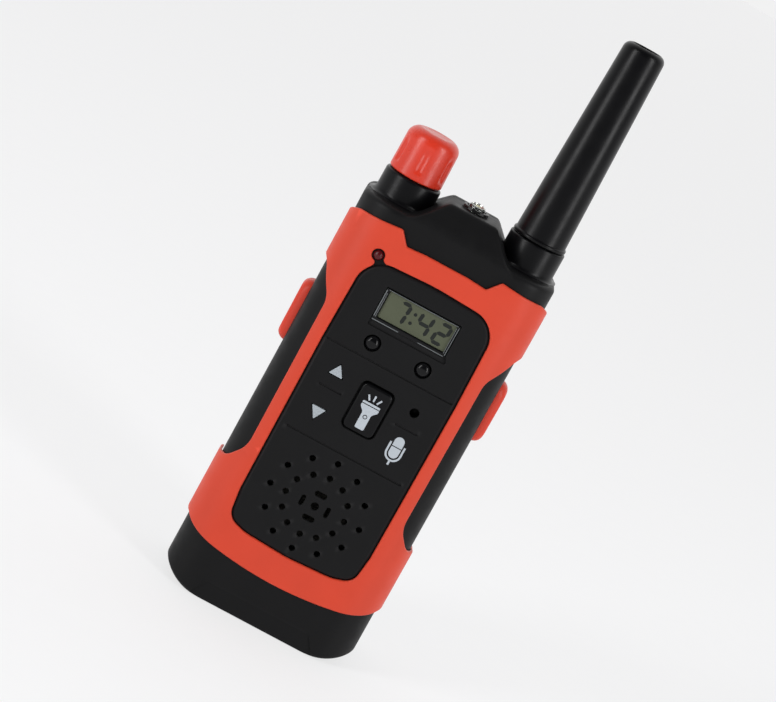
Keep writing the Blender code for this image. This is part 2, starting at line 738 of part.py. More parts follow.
def make_knob():
    """The volume knob on its shaft, the collar that it stands on and the potentiometer below."""
    centre = (KNOB_X, 0, 0)
    low, high = KNOB_Z
    profile = [(3.2, low), (KNOB_RADIUS, low), (KNOB_RADIUS, high - 3.0), (KNOB_RADIUS - 0.9, high - 0.9)]
    profile += [(KNOB_RADIUS - 3.0, high), (0, high), (0, high - 4.2), (3.2, high - 4.2)]
    knob = make_object("knob", turned(profile, centre, "Z", 36), "orange_plastic", (KNOB_X, 0, low))
    flutes = []
    for i in range(6):
        angle = -math.pi / 2 + math.tau * i / 6
        reach = KNOB_RADIUS + 0.55
        middle = (KNOB_X + reach * math.cos(angle), reach * math.sin(angle), 0)
        flutes.append(rod(middle, "Z", 1.25, low + 2.1, high - 4.6, 10))
    combine(knob, "DIFFERENCE", make_guide("knob_flutes", flutes))
    make_object("pot_shaft", rod(centre, "Z", 2.9, 113.2, high - 4.6, 20), "bright_metal", (KNOB_X, 0, low))
    collar = [(4.3, TOP + GAP), (COLLAR_RADIUS + 0.5, TOP + GAP), (COLLAR_RADIUS, TOP + 1.6),
              (COLLAR_RADIUS, 123.9), (COLLAR_RADIUS - 0.6, 124.6), (4.3, 124.6)]
    make_object("knob_collar", turned(collar, centre, "Z", 32), "gloss_black")
    case = box((KNOB_X - 5.8, -6, 105), (KNOB_X + 5.8, 6, 112.9))
    pot = make_object("volume_pot", case, "dark_metal", smooth=False)
    combine(pot, "UNION", make_guide("pot_bush", [rod(centre, "Z", 4.0, 110, 122, 20)]))
    combine(pot, "DIFFERENCE", make_guide("pot_bore", [rod(centre, "Z", 3.2, 112.9, 125, 20)]))


def make_antenna():
    """The tapered stub antenna, its collar and the wire inside."""
    centre = (ANTENNA_X, 0, 0)
    foot = ANTENNA_FOOT
    tip = ANTENNA_TIP
    profile = [
        (1.6, 112.6), (4.5, 112.6), (4.5, foot), (7.6, foot), (7.6, foot + 0.8), (7.05, foot + 1.2),
        (5.68, tip - 1.9), (5.1, tip - 0.6), (3.9, tip), (3.4, tip - 0.4), (0, tip - 0.4),
        (0, 172.0), (1.6, 172.0),
    ]
    make_object("antenna", turned(profile, centre, "Z", 36), "gloss_black")
    collar = [(4.8, TOP + GAP), (COLLAR_RADIUS + 0.2, TOP + GAP), (COLLAR_RADIUS, TOP + 1.0),
              (COLLAR_RADIUS, foot - 0.9), (COLLAR_RADIUS - 0.3, foot - GAP), (4.8, foot - GAP)]
    make_object("antenna_collar", turned(collar, centre, "Z", 32), "gloss_black")
    make_object("antenna_wire", rod(centre, "Z", 0.8, 106, 171, 8), "bright_metal")


def make_torch():
    """The torch lamp in the hump and its ring."""
    centre = (0, TORCH_Y, 0)
    crown = HUMP_TOP + 2.4
    lamp = [(0, 118), (2.45, 118), (2.45, crown - 1.5), (2.0, crown - 0.6), (1.1, crown - 0.1), (0, crown)]
    make_object("torch_led", turned(lamp, centre, "Z", 20), "clear_plastic")
    ring = [(2.8, HUMP_TOP + GAP), (3.8, HUMP_TOP + GAP), (3.6, HUMP_TOP + 0.9), (2.8, HUMP_TOP + 0.9)]
    make_object("torch_ring", turned(ring, centre, "Z", 20), "gloss_black")


def make_side_buttons():
    """The two push-to-talk buttons, each a rounded pad with a flange inside the wall."""
    middle_z = sum(PTT_Z) / 2
    half_z = (PTT_Z[1] - PTT_Z[0]) / 2
    levels = (
        (24.4, PTT_HALF_Y + 1.0, half_z + 1.0),
        (25.4, PTT_HALF_Y + 1.0, half_z + 1.0),
        (25.4, PTT_HALF_Y, half_z),
        (28.9, PTT_HALF_Y, half_z),
        (30.0, PTT_HALF_Y - 0.6, half_z - 1.6),
        (PTT_OUT, PTT_HALF_Y - 1.6, half_z - 3.4),
    )
    for side, name in ((-1, "ptt_left"), (1, "ptt_right")):
        rings = []
        for reach, half_y, half_height in levels:
            outline = rectangle((-half_y, -half_height), (half_y, half_height), min(half_y, 3.0) - 0.2, 4)
            rings.append([(side * reach, y, z + middle_z) for y, z in outline])
        make_object(name, loft(rings), "orange_plastic", (side * 27.7, 0, middle_z))


def make_batteries():
    """Tray, three cells that alternate, their springs and contact plates, and the sliding door."""
    mid = TRAY_MIDDLE_Z
    tray = make_object(
        "battery_tray",
        box((-TRAY_HALF_X, 2.0, mid - TRAY_HALF_Z), (TRAY_HALF_X, 11.7, mid + TRAY_HALF_Z)),
        "black_plastic",
        smooth=False,
    )
    wall = TRAY_WALL
    inner = box(
        (-TRAY_HALF_X + wall, 2.0 + wall, mid - TRAY_HALF_Z + wall),
        (TRAY_HALF_X - wall, 14, mid + TRAY_HALF_Z - wall),
    )
    combine(tray, "DIFFERENCE", make_guide("tray_inside", [inner]))
    foot = mid - TRAY_HALF_Z + wall
    for i, x in enumerate(CELL_XS, 1):
        flip = -1 if i == 2 else 1
        start = (foot + 6.9 - mid) * flip + mid
        shoulder = CELL_LENGTH - 1.0
        profile = [(0, 0), (CELL_RADIUS, 0), (CELL_RADIUS, shoulder), (1.9, shoulder), (1.9, CELL_LENGTH)]
        profile.append((0, CELL_LENGTH))
        profile = [(radius, start + flip * height) for radius, height in profile]
        make_object(f"battery_{i}", turned(profile, (x, CELL_Y, 0), "Z", 20), "battery_wrap")
        spring_low = (foot + 1.2 - mid) * flip + mid
        spring_high = (foot + 6.3 - mid) * flip + mid
        make_spring(f"battery_spring_{i}", (x, CELL_Y), spring_low, spring_high)
    for name, low in (("contact_plate_bottom", foot + 0.3), ("contact_plate_top", 2 * mid - foot - 0.7)):
        make_object(name, box((-16.6, 4.0, low), (16.6, 11.2, low + 0.4)), "bright_metal", smooth=False)
    profile = rounded([
        (CORE_BACK - 1.4, 1.5, 0.2), (CORE_BACK, 1.5, 1.1),
        (CORE_BACK, DOOR_TOP, 0.3), (CORE_BACK - 1.4, DOOR_TOP, 0.2),
    ], 3)
    rings = [[(x, y, z) for y, z in profile] for x in (-DOOR_HALF, DOOR_HALF)]
    make_object("battery_door", loft(rings), "black_plastic", (0, CORE_BACK, 32.0), smooth=False)


def make_curve(name, route, radius, material, sides=2):
    """A wire along a route of points, closed at both ends."""
    curve = bpy.data.curves.new(name, "CURVE")
    curve.dimensions = "3D"
    curve.bevel_depth = radius * MM
    curve.bevel_resolution = sides
    curve.use_fill_caps = True
    curve.resolution_u = 1
    curve.render_resolution_u = 0
    spline = curve.splines.new("POLY")
    spline.points.add(len(route) - 1)
    for point, place in zip(spline.points, route):
        point.co = (*(Vector(place) * MM), 1.0)
    curve.materials.append(make_material(material))
    item = bpy.data.objects.new(name, curve)
    bpy.context.collection.objects.link(item)
    return item


def make_spring(name, at, low, high):
    """A coil contact spring that narrows away from its plate."""
    turns = 4
    per_turn = 10
    route = []
    for i in range(turns * per_turn + 1):
        share = i / (turns * per_turn)
        angle = math.tau * i / per_turn
        radius = 3.4 - 1.2 * share
        height = low + (high - low) * share
        route.append((at[0] + radius * math.cos(angle), at[1] + radius * math.sin(angle), height))
    make_curve(name, route, 0.3, "bright_metal", 1)


def make_leads():
    """Short insulated leads from the batteries and the loudspeaker to the main board."""
    from_batteries = ((1.1, 50), (0.9, 56), (0.2, 61), (-1.4, 65), (-2.4, 69))
    from_speaker = ((-2.2, 45), (-1.6, 51), (-1.4, 58), (-1.8, 63), (-2.4, 67))
    leads = (
        ("battery_lead_red", -12, from_batteries, "red_wire"),
        ("battery_lead_black", -15, from_batteries, "soft_rubber"),
        ("speaker_lead_red", 4, from_speaker, "red_wire"),
        ("speaker_lead_black", -4, from_speaker, "soft_rubber"),
    )
    for name, x, route, material in leads:
        make_curve(name, [(x, y, z) for y, z in route], 0.5, material)


def make_clip():
    """The sprung belt clip on the back: bracket with two lugs, clip, pin and torsion spring."""
    block = box((-LUG_OUT, CORE_BACK + GAP, 98.6), (LUG_OUT, 22.0, 107.4))
    bracket = make_object("clip_bracket", block, "black_plastic", smooth=False)
    gap = make_guide("bracket_gap", [box((-CLIP_HALF - GAP, 16.7, 90), (CLIP_HALF + GAP, 25, 115))])
    combine(bracket, "DIFFERENCE", gap)
    pin_at = (0, PIN_Y, PIN_Z)
    bore = rod(pin_at, "X", PIN_RADIUS + GAP, -20, 20, 16)
    combine(bracket, "DIFFERENCE", make_guide("bracket_bore", [bore]))
    barrel = 2.4
    profile = rounded([
        (16.0, 68.0, 0.6), (18.0, 67.6, 1.2), (22.3, 71.5, 3.0), (22.3, 98.0, 4.0),
        (PIN_Y + barrel, PIN_Z, 2.0), (22.6, 112.6, 0.9), (20.6, 112.8, 0.9),
        (PIN_Y - barrel, 104.4, 1.0), (PIN_Y - barrel, 101.4, 1.0),
        (20.6, 97.0, 1.5), (20.6, 72.6, 1.5), (18.4, 71.0, 1.2), (16.0, 70.2, 0.6),
    ], 3)
    rings = [[(x, y, z) for y, z in profile] for x in (-CLIP_HALF, CLIP_HALF)]
    clip = make_object("belt_clip", loft(rings), "black_plastic", pin_at, smooth=False)
    combine(clip, "DIFFERENCE", make_guide("clip_bore", [bore]))
    window = make_guide("clip_spring_window", [box((-3.8, 14, PIN_Z - 2.8), (3.8, 26, PIN_Z + 2.8))])
    combine(clip, "DIFFERENCE", window)
    make_object("clip_pin", rod(pin_at, "X", PIN_RADIUS, -LUG_OUT - 0.4, LUG_OUT + 0.4, 16), "bright_metal")
    per_turn = 10
    turns = 5
    radius = 1.75
    route = []
    for i in range(turns * per_turn + 1):
        angle = math.tau * i / per_turn
        x = -3.0 + 6.0 * i / (turns * per_turn)
        route.append((x, PIN_Y + radius * math.cos(angle), PIN_Z + radius * math.sin(angle)))
    make_curve("clip_spring", route, 0.3, "bright_metal", 1)


def make_screws():
    """The four screws that hold the shells together, driven in from the rear."""
    for i, (x, z, _, _) in enumerate(SCREWS, 1):
        profile = [(0, -5.5), (SCREW_SHANK * 0.6, -5.0), (SCREW_SHANK, -4.0), (SCREW_SHANK, 9.6)]
        profile += [(SCREW_HEAD, 9.6), (SCREW_HEAD, 10.6), (SCREW_HEAD * 0.7, 11.1), (0, 11.1)]
        make_object(f"housing_screw_{i}", turned(profile, (x, 0, z), "Y", 14), "bright_metal")


clear_scene()
make_housing()
make_armour()
make_face()
make_boards()
make_speaker()
make_knob()
make_antenna()
make_torch()
make_side_buttons()
make_batteries()
make_leads()
make_clip()
make_screws()
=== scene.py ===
"""Looks of the toy walkie talkie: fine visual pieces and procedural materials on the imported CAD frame.

The frame is +Z up with the face towards -Y. Lengths here are millimetres, and MM turns them into the scene's
metres.
"""

import math

import bmesh
import bpy
from mathutils import Matrix, Vector, interpolate
from mathutils.bvhtree import BVHTree
from mathutils.geometry import delaunay_2d_cdt


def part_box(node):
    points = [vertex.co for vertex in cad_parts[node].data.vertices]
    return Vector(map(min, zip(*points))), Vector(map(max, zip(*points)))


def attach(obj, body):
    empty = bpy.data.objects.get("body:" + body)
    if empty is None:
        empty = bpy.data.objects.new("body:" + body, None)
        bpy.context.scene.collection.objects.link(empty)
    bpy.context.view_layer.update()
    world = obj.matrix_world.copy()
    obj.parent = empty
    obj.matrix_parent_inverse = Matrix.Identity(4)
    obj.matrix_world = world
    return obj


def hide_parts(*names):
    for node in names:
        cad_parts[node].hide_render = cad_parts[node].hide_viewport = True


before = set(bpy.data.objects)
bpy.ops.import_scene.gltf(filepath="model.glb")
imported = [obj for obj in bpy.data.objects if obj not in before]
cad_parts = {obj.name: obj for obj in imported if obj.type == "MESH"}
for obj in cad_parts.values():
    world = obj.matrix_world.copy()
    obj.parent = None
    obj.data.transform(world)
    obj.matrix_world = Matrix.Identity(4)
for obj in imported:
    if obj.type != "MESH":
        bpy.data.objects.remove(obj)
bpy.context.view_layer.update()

MM = 0.001
UP = Vector((0.0, 0.0, 1.0))


def span(node):
    """Lowest and highest corner of a CAD node, in millimetres."""
    low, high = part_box(node)
    return low / MM, high / MM


def middle(node):
    """The middle of a CAD node's box, in millimetres."""
    low, high = span(node)
    return (low + high) / 2


# Housing, from the frame's shells
CORE_FRONT = span("front_housing")[0].y
CORE_BACK = span("rear_housing")[1].y
HUMP_TOP = span("front_housing")[1].z
TOP = HUMP_TOP - 7.2
SPLIT = span("front_housing")[1].y
SEAM = span("rear_housing")[0].y
CORE_CORNER = 10.2
CORE_MIDDLE = (CORE_FRONT + CORE_BACK) / 2
CORE_HALF_DEPTH = (CORE_BACK - CORE_FRONT) / 2
CORE_HALF_GROWTH = 0.6 / 89.0
GROWTH_FROM = 113.0
CORE_HALF_TOP = 27.7
WALL = 1.6
GAP = 0.3
BOTTOM_EDGE = 1.3
TOP_EDGE = 1.5
BASE_FLAT = 15.0
BASE_CURVE = 0.022
BASE_FADE = 14.0
CAVITY_BACK = 12.0
WALL_RINGS_TOP = 108.0

# The hump that holds the torch lamp
HUMP_HALF = 6.7
HUMP_SIDE_SLOPE = 1.05
HUMP_BACK = 5.6
HUMP_BACK_SLOPE = 2.03
LEAN_FROM = 118.67
LEAN = 1.31
LEAN_ROUND = 6.0
HUMP_EDGE = 0.8
SHOULDER_FILLET = 2.2

# Armour and face panel
FACE = -span("face_panel")[0].y
PANEL_FOOT = -span("face_panel")[1].y
PANEL_GAP = 0.35
ARMOUR_INNER = 0.3
ARMOUR_OUTER = FACE + CORE_FRONT
ARMOUR_SIDE_END = 43.0
ARMOUR_FOOT = 13.68
ARMOUR_FOOT_CURVE = 0.0051
KEY_PAD = (-4.3, 61.7, 4.3, 74.8)
LEDGE_FOOT = 88.5

# Controls
SPEAKER = middle("speaker_cone")
MIC = middle("mic_capsule")
POWER_LED = middle("power_led")
LCD_LOW = span("lcd_window")[0] + Vector((0.13, 0, 0.1))
LCD_HIGH = span("lcd_window")[1] - Vector((0.3, 0, 0.55))
KEY_LOW, KEY_HIGH = span("torch_key")
KNOB_LOW, KNOB_HIGH = span("knob")
KNOB_AT = middle("knob")
ANTENNA_AT = middle("antenna")
ANTENNA_TIP = span("antenna")[1].z
ANTENNA_FOOT = 125.7
KNOB_BORE = 4.3
ANTENNA_BORE = 4.8
TORCH_BORE = 2.8
TORCH_AT = middle("torch_led")
PTT_LOW, PTT_HIGH = span("ptt_right")
PIN = middle("clip_pin")
SCREWS = [f"housing_screw_{number}" for number in (1, 2, 3, 4)]
CLOCK_BUTTONS = ("clock_mode_button", "clock_set_button")
CLOCK_BUTTON_HOLE = 2.25
UP_KEY = ((-11.65, 75.6), (-13.66, 72.2), (-9.6, 72.2))
DOWN_KEY = ((-11.4, 59.2), (-9.35, 62.85), (-13.45, 62.85))


# ---------------------------------------------------------------- shape helpers

def rounded(corners, steps=6):
    """A loop through corners of (x, y, radius), each turned with an arc of its own radius."""
    outline = []
    count = len(corners)
    for i, (x, y, radius) in enumerate(corners):
        here = Vector((x, y))
        if radius <= 0:
            outline.append((x, y))
            continue
        before = (Vector(corners[i - 1][:2]) - here).normalized()
        after = (Vector(corners[(i + 1) % count][:2]) - here).normalized()
        half = before.angle(after) / 2
        reach = radius / math.tan(half)
        centre = here + (before + after).normalized() * radius / math.sin(half)
        start = here + before * reach - centre
        sweep = (here + after * reach - centre).angle_signed(start)
        for step in range(steps + 1):
            angle = sweep * step / steps
            outline.append((
                centre.x + start.x * math.cos(angle) - start.y * math.sin(angle),
                centre.y + start.x * math.sin(angle) + start.y * math.cos(angle),
            ))
    return outline


def rectangle(low, high, radius, steps=6):
    """A rounded rectangle as a loop."""
    corners = (low, (high[0], low[1]), high, (low[0], high[1]))
    return rounded([(*corner, radius) for corner in corners], steps)


def circle(centre, radius, steps=24):
    """A circle as a loop."""
    angles = [math.tau * i / steps for i in range(steps)]
    return [(centre[0] + radius * math.cos(angle), centre[1] + radius * math.sin(angle)) for angle in angles]


def quarter_arc(centre, reach, rise, steps):
    """Points of a quarter ellipse about a centre, from its side to its top, without the first."""
    angles = [math.pi / 2 * step / steps for step in range(1, steps + 1)]
    return [(centre[0] + reach * math.cos(angle), centre[1] + rise * math.sin(angle)) for angle in angles]


def mirrored(corners):
    """Corners of (x, y, radius) mirrored in the middle line, in the order that carries a loop on."""
    return [(-x, y, radius) for x, y, radius in reversed(corners)]


def side_directions(loop):
    """For each point of a loop, the direction to its left and how much a mitre stretches it."""
    count = len(loop)
    found = []
    for i in range(count):
        here = Vector(loop[i])
        before = (here - Vector(loop[i - 1])).normalized()
        after = (Vector(loop[(i + 1) % count]) - here).normalized()
        first = Vector((-before.y, before.x))
        second = Vector((-after.y, after.x))
        mitre = (first + second).normalized()
        found.append((mitre, 1.0 / max(mitre.dot(first), 0.5)))
    return found


def moved(loop, distance):
    """A loop moved to its left by a distance."""
    return [
        (p[0] + side.x * distance * stretch, p[1] + side.y * distance * stretch)
        for p, (side, stretch) in zip(loop, side_directions(loop))
    ]


def divided(loop, longest):
    """A loop with points added so that no edge is longer than longest."""
    points = []
    for i, here in enumerate(loop):
        start = Vector(here)
        end = Vector(loop[(i + 1) % len(loop)])
        pieces = max(1, math.ceil((end - start).length / longest))
        points.extend([tuple(start.lerp(end, step / pieces)) for step in range(pieces)])
    return points


def inside(point, loop):
    """Whether a point lies inside a loop."""
    crossings = 0
    for i, (x2, y2) in enumerate(loop):
        x1, y1 = loop[i - 1]
        if (y1 > point[1]) != (y2 > point[1]):
            if point[0] < (x2 - x1) * (point[1] - y1) / (y2 - y1) + x1:
                crossings += 1
    return crossings % 2 == 1


def filled(loops, spare=()):
    """Triangles between an outer loop and the loops in it.

    A corner is the index of an input point, or a new flat point where edges cross.
    """
    flat = [Vector(p) for loop in loops for p in loop]
    edges = []
    start = 0
    for loop in loops:
        edges.extend([(start + i, start + (i + 1) % len(loop)) for i in range(len(loop))])
        start += len(loop)
    flat.extend([Vector(p) for p in spare])
    made, _, triangles, origins, _, _ = delaunay_2d_cdt(flat, edges, [], 0, 1e-7)
    boxes = []
    for loop in loops:
        xs = [p[0] for p in loop]
        ys = [p[1] for p in loop]
        boxes.append((min(xs), min(ys), max(xs), max(ys)))
    faces = []
    for triangle in triangles:
        centre = sum((made[i] for i in triangle), Vector((0, 0))) / 3
        layers = 0
        for loop, (x1, y1, x2, y2) in zip(loops, boxes):
            if x1 < centre.x < x2 and y1 < centre.y < y2 and inside(centre, loop):
                layers += 1
        if layers == 1 and inside(centre, loops[0]):
            faces.append([origins[i][0] if origins[i] else tuple(made[i]) for i in triangle])
    return faces


class Shape:
    """Points and faces of a piece, with a normal for each corner of each face."""

    def __init__(self):
        self.points = []
        self.faces = []
        self.normals = []

    def point(self, place):
        self.points.append(Vector(place))
        return len(self.points) - 1

    def face(self, corners):
        """Adds a face of (point index, normal) corners."""
        self.faces.append([index for index, _ in corners])
        self.normals.extend([normal for _, normal in corners])

    def add(self, other):
        """Adds all of another shape."""
        shift = len(self.points)
        self.points.extend(other.points)
        self.faces.extend([[i + shift for i in face] for face in other.faces])
        self.normals.extend(other.normals)

    def band(self, lower, upper):
        """Adds quads between two rings of (point index, normal) corners."""
        for i in range(len(lower)):
            j = (i + 1) % len(lower)
            self.face([lower[i], lower[j], upper[j], upper[i]])


def front_skin(u, z):
    """The front's plane: a point on it, the direction that u runs in, and which way it faces."""
    return Vector((u, 0, z)), Vector((1, 0, 0)), Vector((0, -1, 0))


def back_skin(u, z):
    """The back's plane, where u runs towards -X."""
    return Vector((-u, 0, z)), Vector((-1, 0, 0)), Vector((0, 1, 0))


def half_width(z):
    """The housing's half width, which grows a little towards the base."""
    return CORE_HALF_TOP + CORE_HALF_GROWTH * (GROWTH_FROM - z)


def wall_skin(u, z):
    """The housing's wall, with u running round it from the front's middle."""
    side = 1 if u >= 0 else -1
    distance = abs(u)
    flat = half_width(z) - CORE_CORNER
    quarter = CORE_CORNER * math.pi / 2
    if distance <= flat:
        return Vector((u, CORE_FRONT, z)), Vector((1, 0, 0)), Vector((0, -1, 0))
    angle = min((distance - flat) / CORE_CORNER, math.pi / 2)
    past = max(distance - flat - quarter, 0.0)
    place = Vector((
        side * (flat + CORE_CORNER * math.sin(angle)),
        CORE_FRONT + CORE_CORNER - CORE_CORNER * math.cos(angle) + past,
        z,
    ))
    along = Vector((math.cos(angle), side * math.sin(angle), 0))
    facing = Vector((side * math.sin(angle), -math.cos(angle), 0))
    return place, along, facing


def lay(shape, skin, lift, side, corners, triangles):
    """Adds flat triangles that face out (side 1) or in (side -1). A new flat point stands for itself."""
    extra = {}
    for triangle in triangles:
        found = []
        for key in triangle:
            if isinstance(key, int):
                found.append(corners[key])
                continue
            if key not in extra:
                place, _, facing = skin(*key)
                extra[key] = (shape.point(place + facing * lift), facing * side)
            found.append(extra[key])
        shape.face(found[::side])


def sheet(skin, high, low, outer, holes=(), pockets=(), spare=()):
    """A plate laid on a skin between two lifts, with rounded edges, holes and pockets.

    outer and holes are (loop, edge radius), pockets are (loop, edge radius, depth), and every loop runs
    counter-clockwise.
    """
    shape = Shape()
    loops = [(*outer, None)]
    loops.extend([(loop[::-1], edge, None) for loop, edge in holes])
    loops.extend([(loop[::-1], edge, depth) for loop, edge, depth in pockets])
    rims = []
    rim_corners = []
    feet = []
    foot_corners = []
    for loop, edge, depth in loops:
        steps = 5 if edge > 0.25 else 3
        sides = [side for side, _ in side_directions(loop)]
        below = None
        bottom = low if depth is None else high - depth
        for step in range(-1, steps + 1):
            angle = max(math.pi / 2 * step / steps, 0.0)
            flat = moved(loop, edge * (1 - math.cos(angle)))
            lift = bottom if step < 0 else high - edge + edge * math.sin(angle)
            ring = []
            for (u, z), side in zip(flat, sides):
                place, along, facing = skin(u, z)
                outward = -(along * side.x + UP * side.y)
                normal = outward * math.cos(angle) + facing * math.sin(angle)
                ring.append((shape.point(place + facing * lift), normal))
            if below is not None:
                shape.band(below, ring)
            elif depth is None:
                feet.append(loop)
                foot_corners.extend([(index, -skin(*p)[2]) for (index, _), p in zip(ring, loop)])
            else:
                floor = [(index, skin(*p)[2]) for (index, _), p in zip(ring, loop)]
                lay(shape, skin, bottom, 1, floor, filled([loop]))
            below = ring
        rims.append(flat)
        rim_corners.extend([(index, skin(*p)[2]) for (index, _), p in zip(ring, flat)])
    for u, z in spare:
        place, _, facing = skin(u, z)
        rim_corners.append((shape.point(place + facing * high), facing))
    lay(shape, skin, high, 1, rim_corners, filled(rims, spare))
    back_spare = spare if skin is wall_skin else ()
    for u, z in back_spare:
        place, _, facing = skin(u, z)
        foot_corners.append((shape.point(place + facing * low), -facing))
    lay(shape, skin, low, -1, foot_corners, filled(feet, back_spare))
    return shape


def plain(points, faces):
    """A shape without normals of its own."""
    shape = Shape()
    shape.points = [Vector(p) for p in points]
    shape.faces = [list(face) for face in faces]
    return shape


def loft(rings):
    """A closed solid through rings of equal length, each end closed by a fan."""
    count = len(rings[0])
    points = [Vector(p) for ring in rings for p in ring]
    faces = []
    for level in range(len(rings) - 1):
        for i in range(count):
            j = (i + 1) % count
            a = level * count
            faces.append((a + i, a + j, a + count + j, a + count + i))
    for start, ring in ((0, rings[0]), (len(points) - count, rings[-1])):
        points.append(sum((Vector(p) for p in ring), Vector()) / count)
        centre = len(points) - 1
        for i in range(count):
            pair = (start + (i + 1) % count, start + i)
            faces.append((*(pair if start == 0 else reversed(pair)), centre))
    return plain(points, faces)


AXES = {
    "X": (Vector((0, 1, 0)), Vector((0, 0, 1)), Vector((1, 0, 0))),
    "Y": (Vector((0, 0, 1)), Vector((1, 0, 0)), Vector((0, 1, 0))),
    "Z": (Vector((1, 0, 0)), Vector((0, 1, 0)), Vector((0, 0, 1))),
}


def turned(profile, centre, axis="Z", steps=96, trim=None):
    """A solid turned about an axis from a loop of (radius, distance along).

    trim(angle, distance, radius) says how far to cut in.
    """
    side, up, along = AXES[axis]
    points = []
    columns = []
    for radius, height in profile:
        base = Vector(centre) + along * height
        if radius < 1e-6:
            points.append(base)
            columns.append([len(points) - 1] * steps)
            continue
        first = len(points)
        for i in range(steps):
            angle = math.tau * i / steps
            reach = radius - (trim(angle, height, radius) if trim else 0.0)
            points.append(base + side * reach * math.cos(angle) + up * reach * math.sin(angle))
        columns.append(list(range(first, first + steps)))
    faces = []
    for level in range(len(profile)):
        here = columns[level]
        above = columns[(level + 1) % len(profile)]
        for i in range(steps):
            j = (i + 1) % steps
            corner = []
            for index in (here[i], here[j], above[j], above[i]):
                if index not in corner:
                    corner.append(index)
            if len(corner) > 2:
                faces.append(tuple(corner))
    return plain(points, faces)


def turned_out(profile, at, steps=48):
    """A solid turned about a line that points out of the face, from a loop of (radius, distance out)."""
    return turned([(radius, -out) for radius, out in profile], (at.x, 0, at.z), "Y", steps)


def box(low, high):
    """A box between two corners."""
    points = [(x, y, z) for z in (low[2], high[2]) for y in (low[1], high[1]) for x in (low[0], high[0])]
    return plain(points, [(0, 2, 3, 1), (4, 5, 7, 6), (0, 1, 5, 4), (2, 6, 7, 3), (0, 4, 6, 2), (1, 3, 7, 5)])


def rod(centre, axis, radius, low, high, steps=32):
    """A plain round rod from low to high along an axis, for cutting with."""
    return turned([(0, low), (radius, low), (radius, high), (0, high)], centre, axis, steps)


def new_object(name, shape, smooth=None):
    """An object of a shape. smooth is the sharpest angle that is shaded smooth, in degrees."""
    mesh = bpy.data.meshes.new(name)
    mesh.from_pydata([p * MM for p in shape.points], [], shape.faces)
    if shape.normals:
        mesh.shade_smooth()
        mesh.normals_split_custom_set(shape.normals)
    else:
        body = bmesh.new()
        body.from_mesh(mesh)
        bmesh.ops.recalc_face_normals(body, faces=body.faces)
        body.to_mesh(mesh)
        body.free()
        if smooth:
            mesh.shade_smooth()
            mesh.set_sharp_from_angle(angle=math.radians(smooth))
    item = bpy.data.objects.new(name, mesh)
    bpy.context.scene.collection.objects.link(item)
    return item


def settle(item, material, body="housing", stands_for=()):
    """Gives a piece its material and the body it rides on, and hides the CAD nodes it stands for."""
    item.data.materials.clear()
    item.data.materials.append(material)
    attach(item, body)
    if stands_for:
        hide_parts(*stands_for)


def piece(name, shape, material, body="housing", stands_for=(), smooth=35):
    """A finished piece of a shape."""
    settle(new_object(name, shape, smooth), material, body, stands_for)


def cut(item, steps):
    """Applies Booleans to an object: steps are (operation, shapes)."""
    guides = []
    for number, (operation, shapes) in enumerate(steps):
        joined = Shape()
        for shape in shapes:
            joined.add(shape)
        guide = new_object(f"{item.name}_guide_{number}", joined)
        guide.hide_render = True
        guides.append(guide)
        modifier = item.modifiers.new(f"step_{number}", "BOOLEAN")
        modifier.operation = operation
        modifier.object = guide
        modifier.solver = "EXACT"
    result = bpy.data.meshes.new_from_object(item.evaluated_get(bpy.context.evaluated_depsgraph_get()))
    item.modifiers.clear()
    item.data = result
    for guide in guides:
        bpy.data.objects.remove(guide)


def follow(item, fine):
    """Copies the normals of a fine, uncut object to the faces of a cut one that still lie on it."""
    mesh = fine.data
    tree = BVHTree.FromPolygons([v.co for v in mesh.vertices], [tuple(p.vertices) for p in mesh.polygons])
    smooth = [vertex.normal.copy() for vertex in mesh.vertices]
    normals = []
    for face in item.data.polygons:
        for index in face.vertices:
            place = item.data.vertices[index].co
            near = place.lerp(face.center, 0.02)
            spot, facing, found, distance = tree.find_nearest(near)
            normal = face.normal
            if distance < 0.02 * MM and facing.dot(face.normal) > 0.95:
                corners = mesh.polygons[found].vertices
                weights = interpolate.poly_3d_calc([mesh.vertices[i].co for i in corners], spot)
                normal = sum((smooth[i] * share for i, share in zip(corners, weights)), Vector()).normalized()
            normals.append(normal)
    item.data.shade_smooth()
    item.data.normals_split_custom_set(normals)


# ---------------------------------------------------------------- materials

def linear(code):
    """The linear colour of a six-digit sRGB code."""
    values = [int(code[i:i + 2], 16) / 255 for i in (0, 2, 4)]
    return [v / 12.92 if v <= 0.04045 else ((v + 0.055) / 1.055) ** 2.4 for v in values]


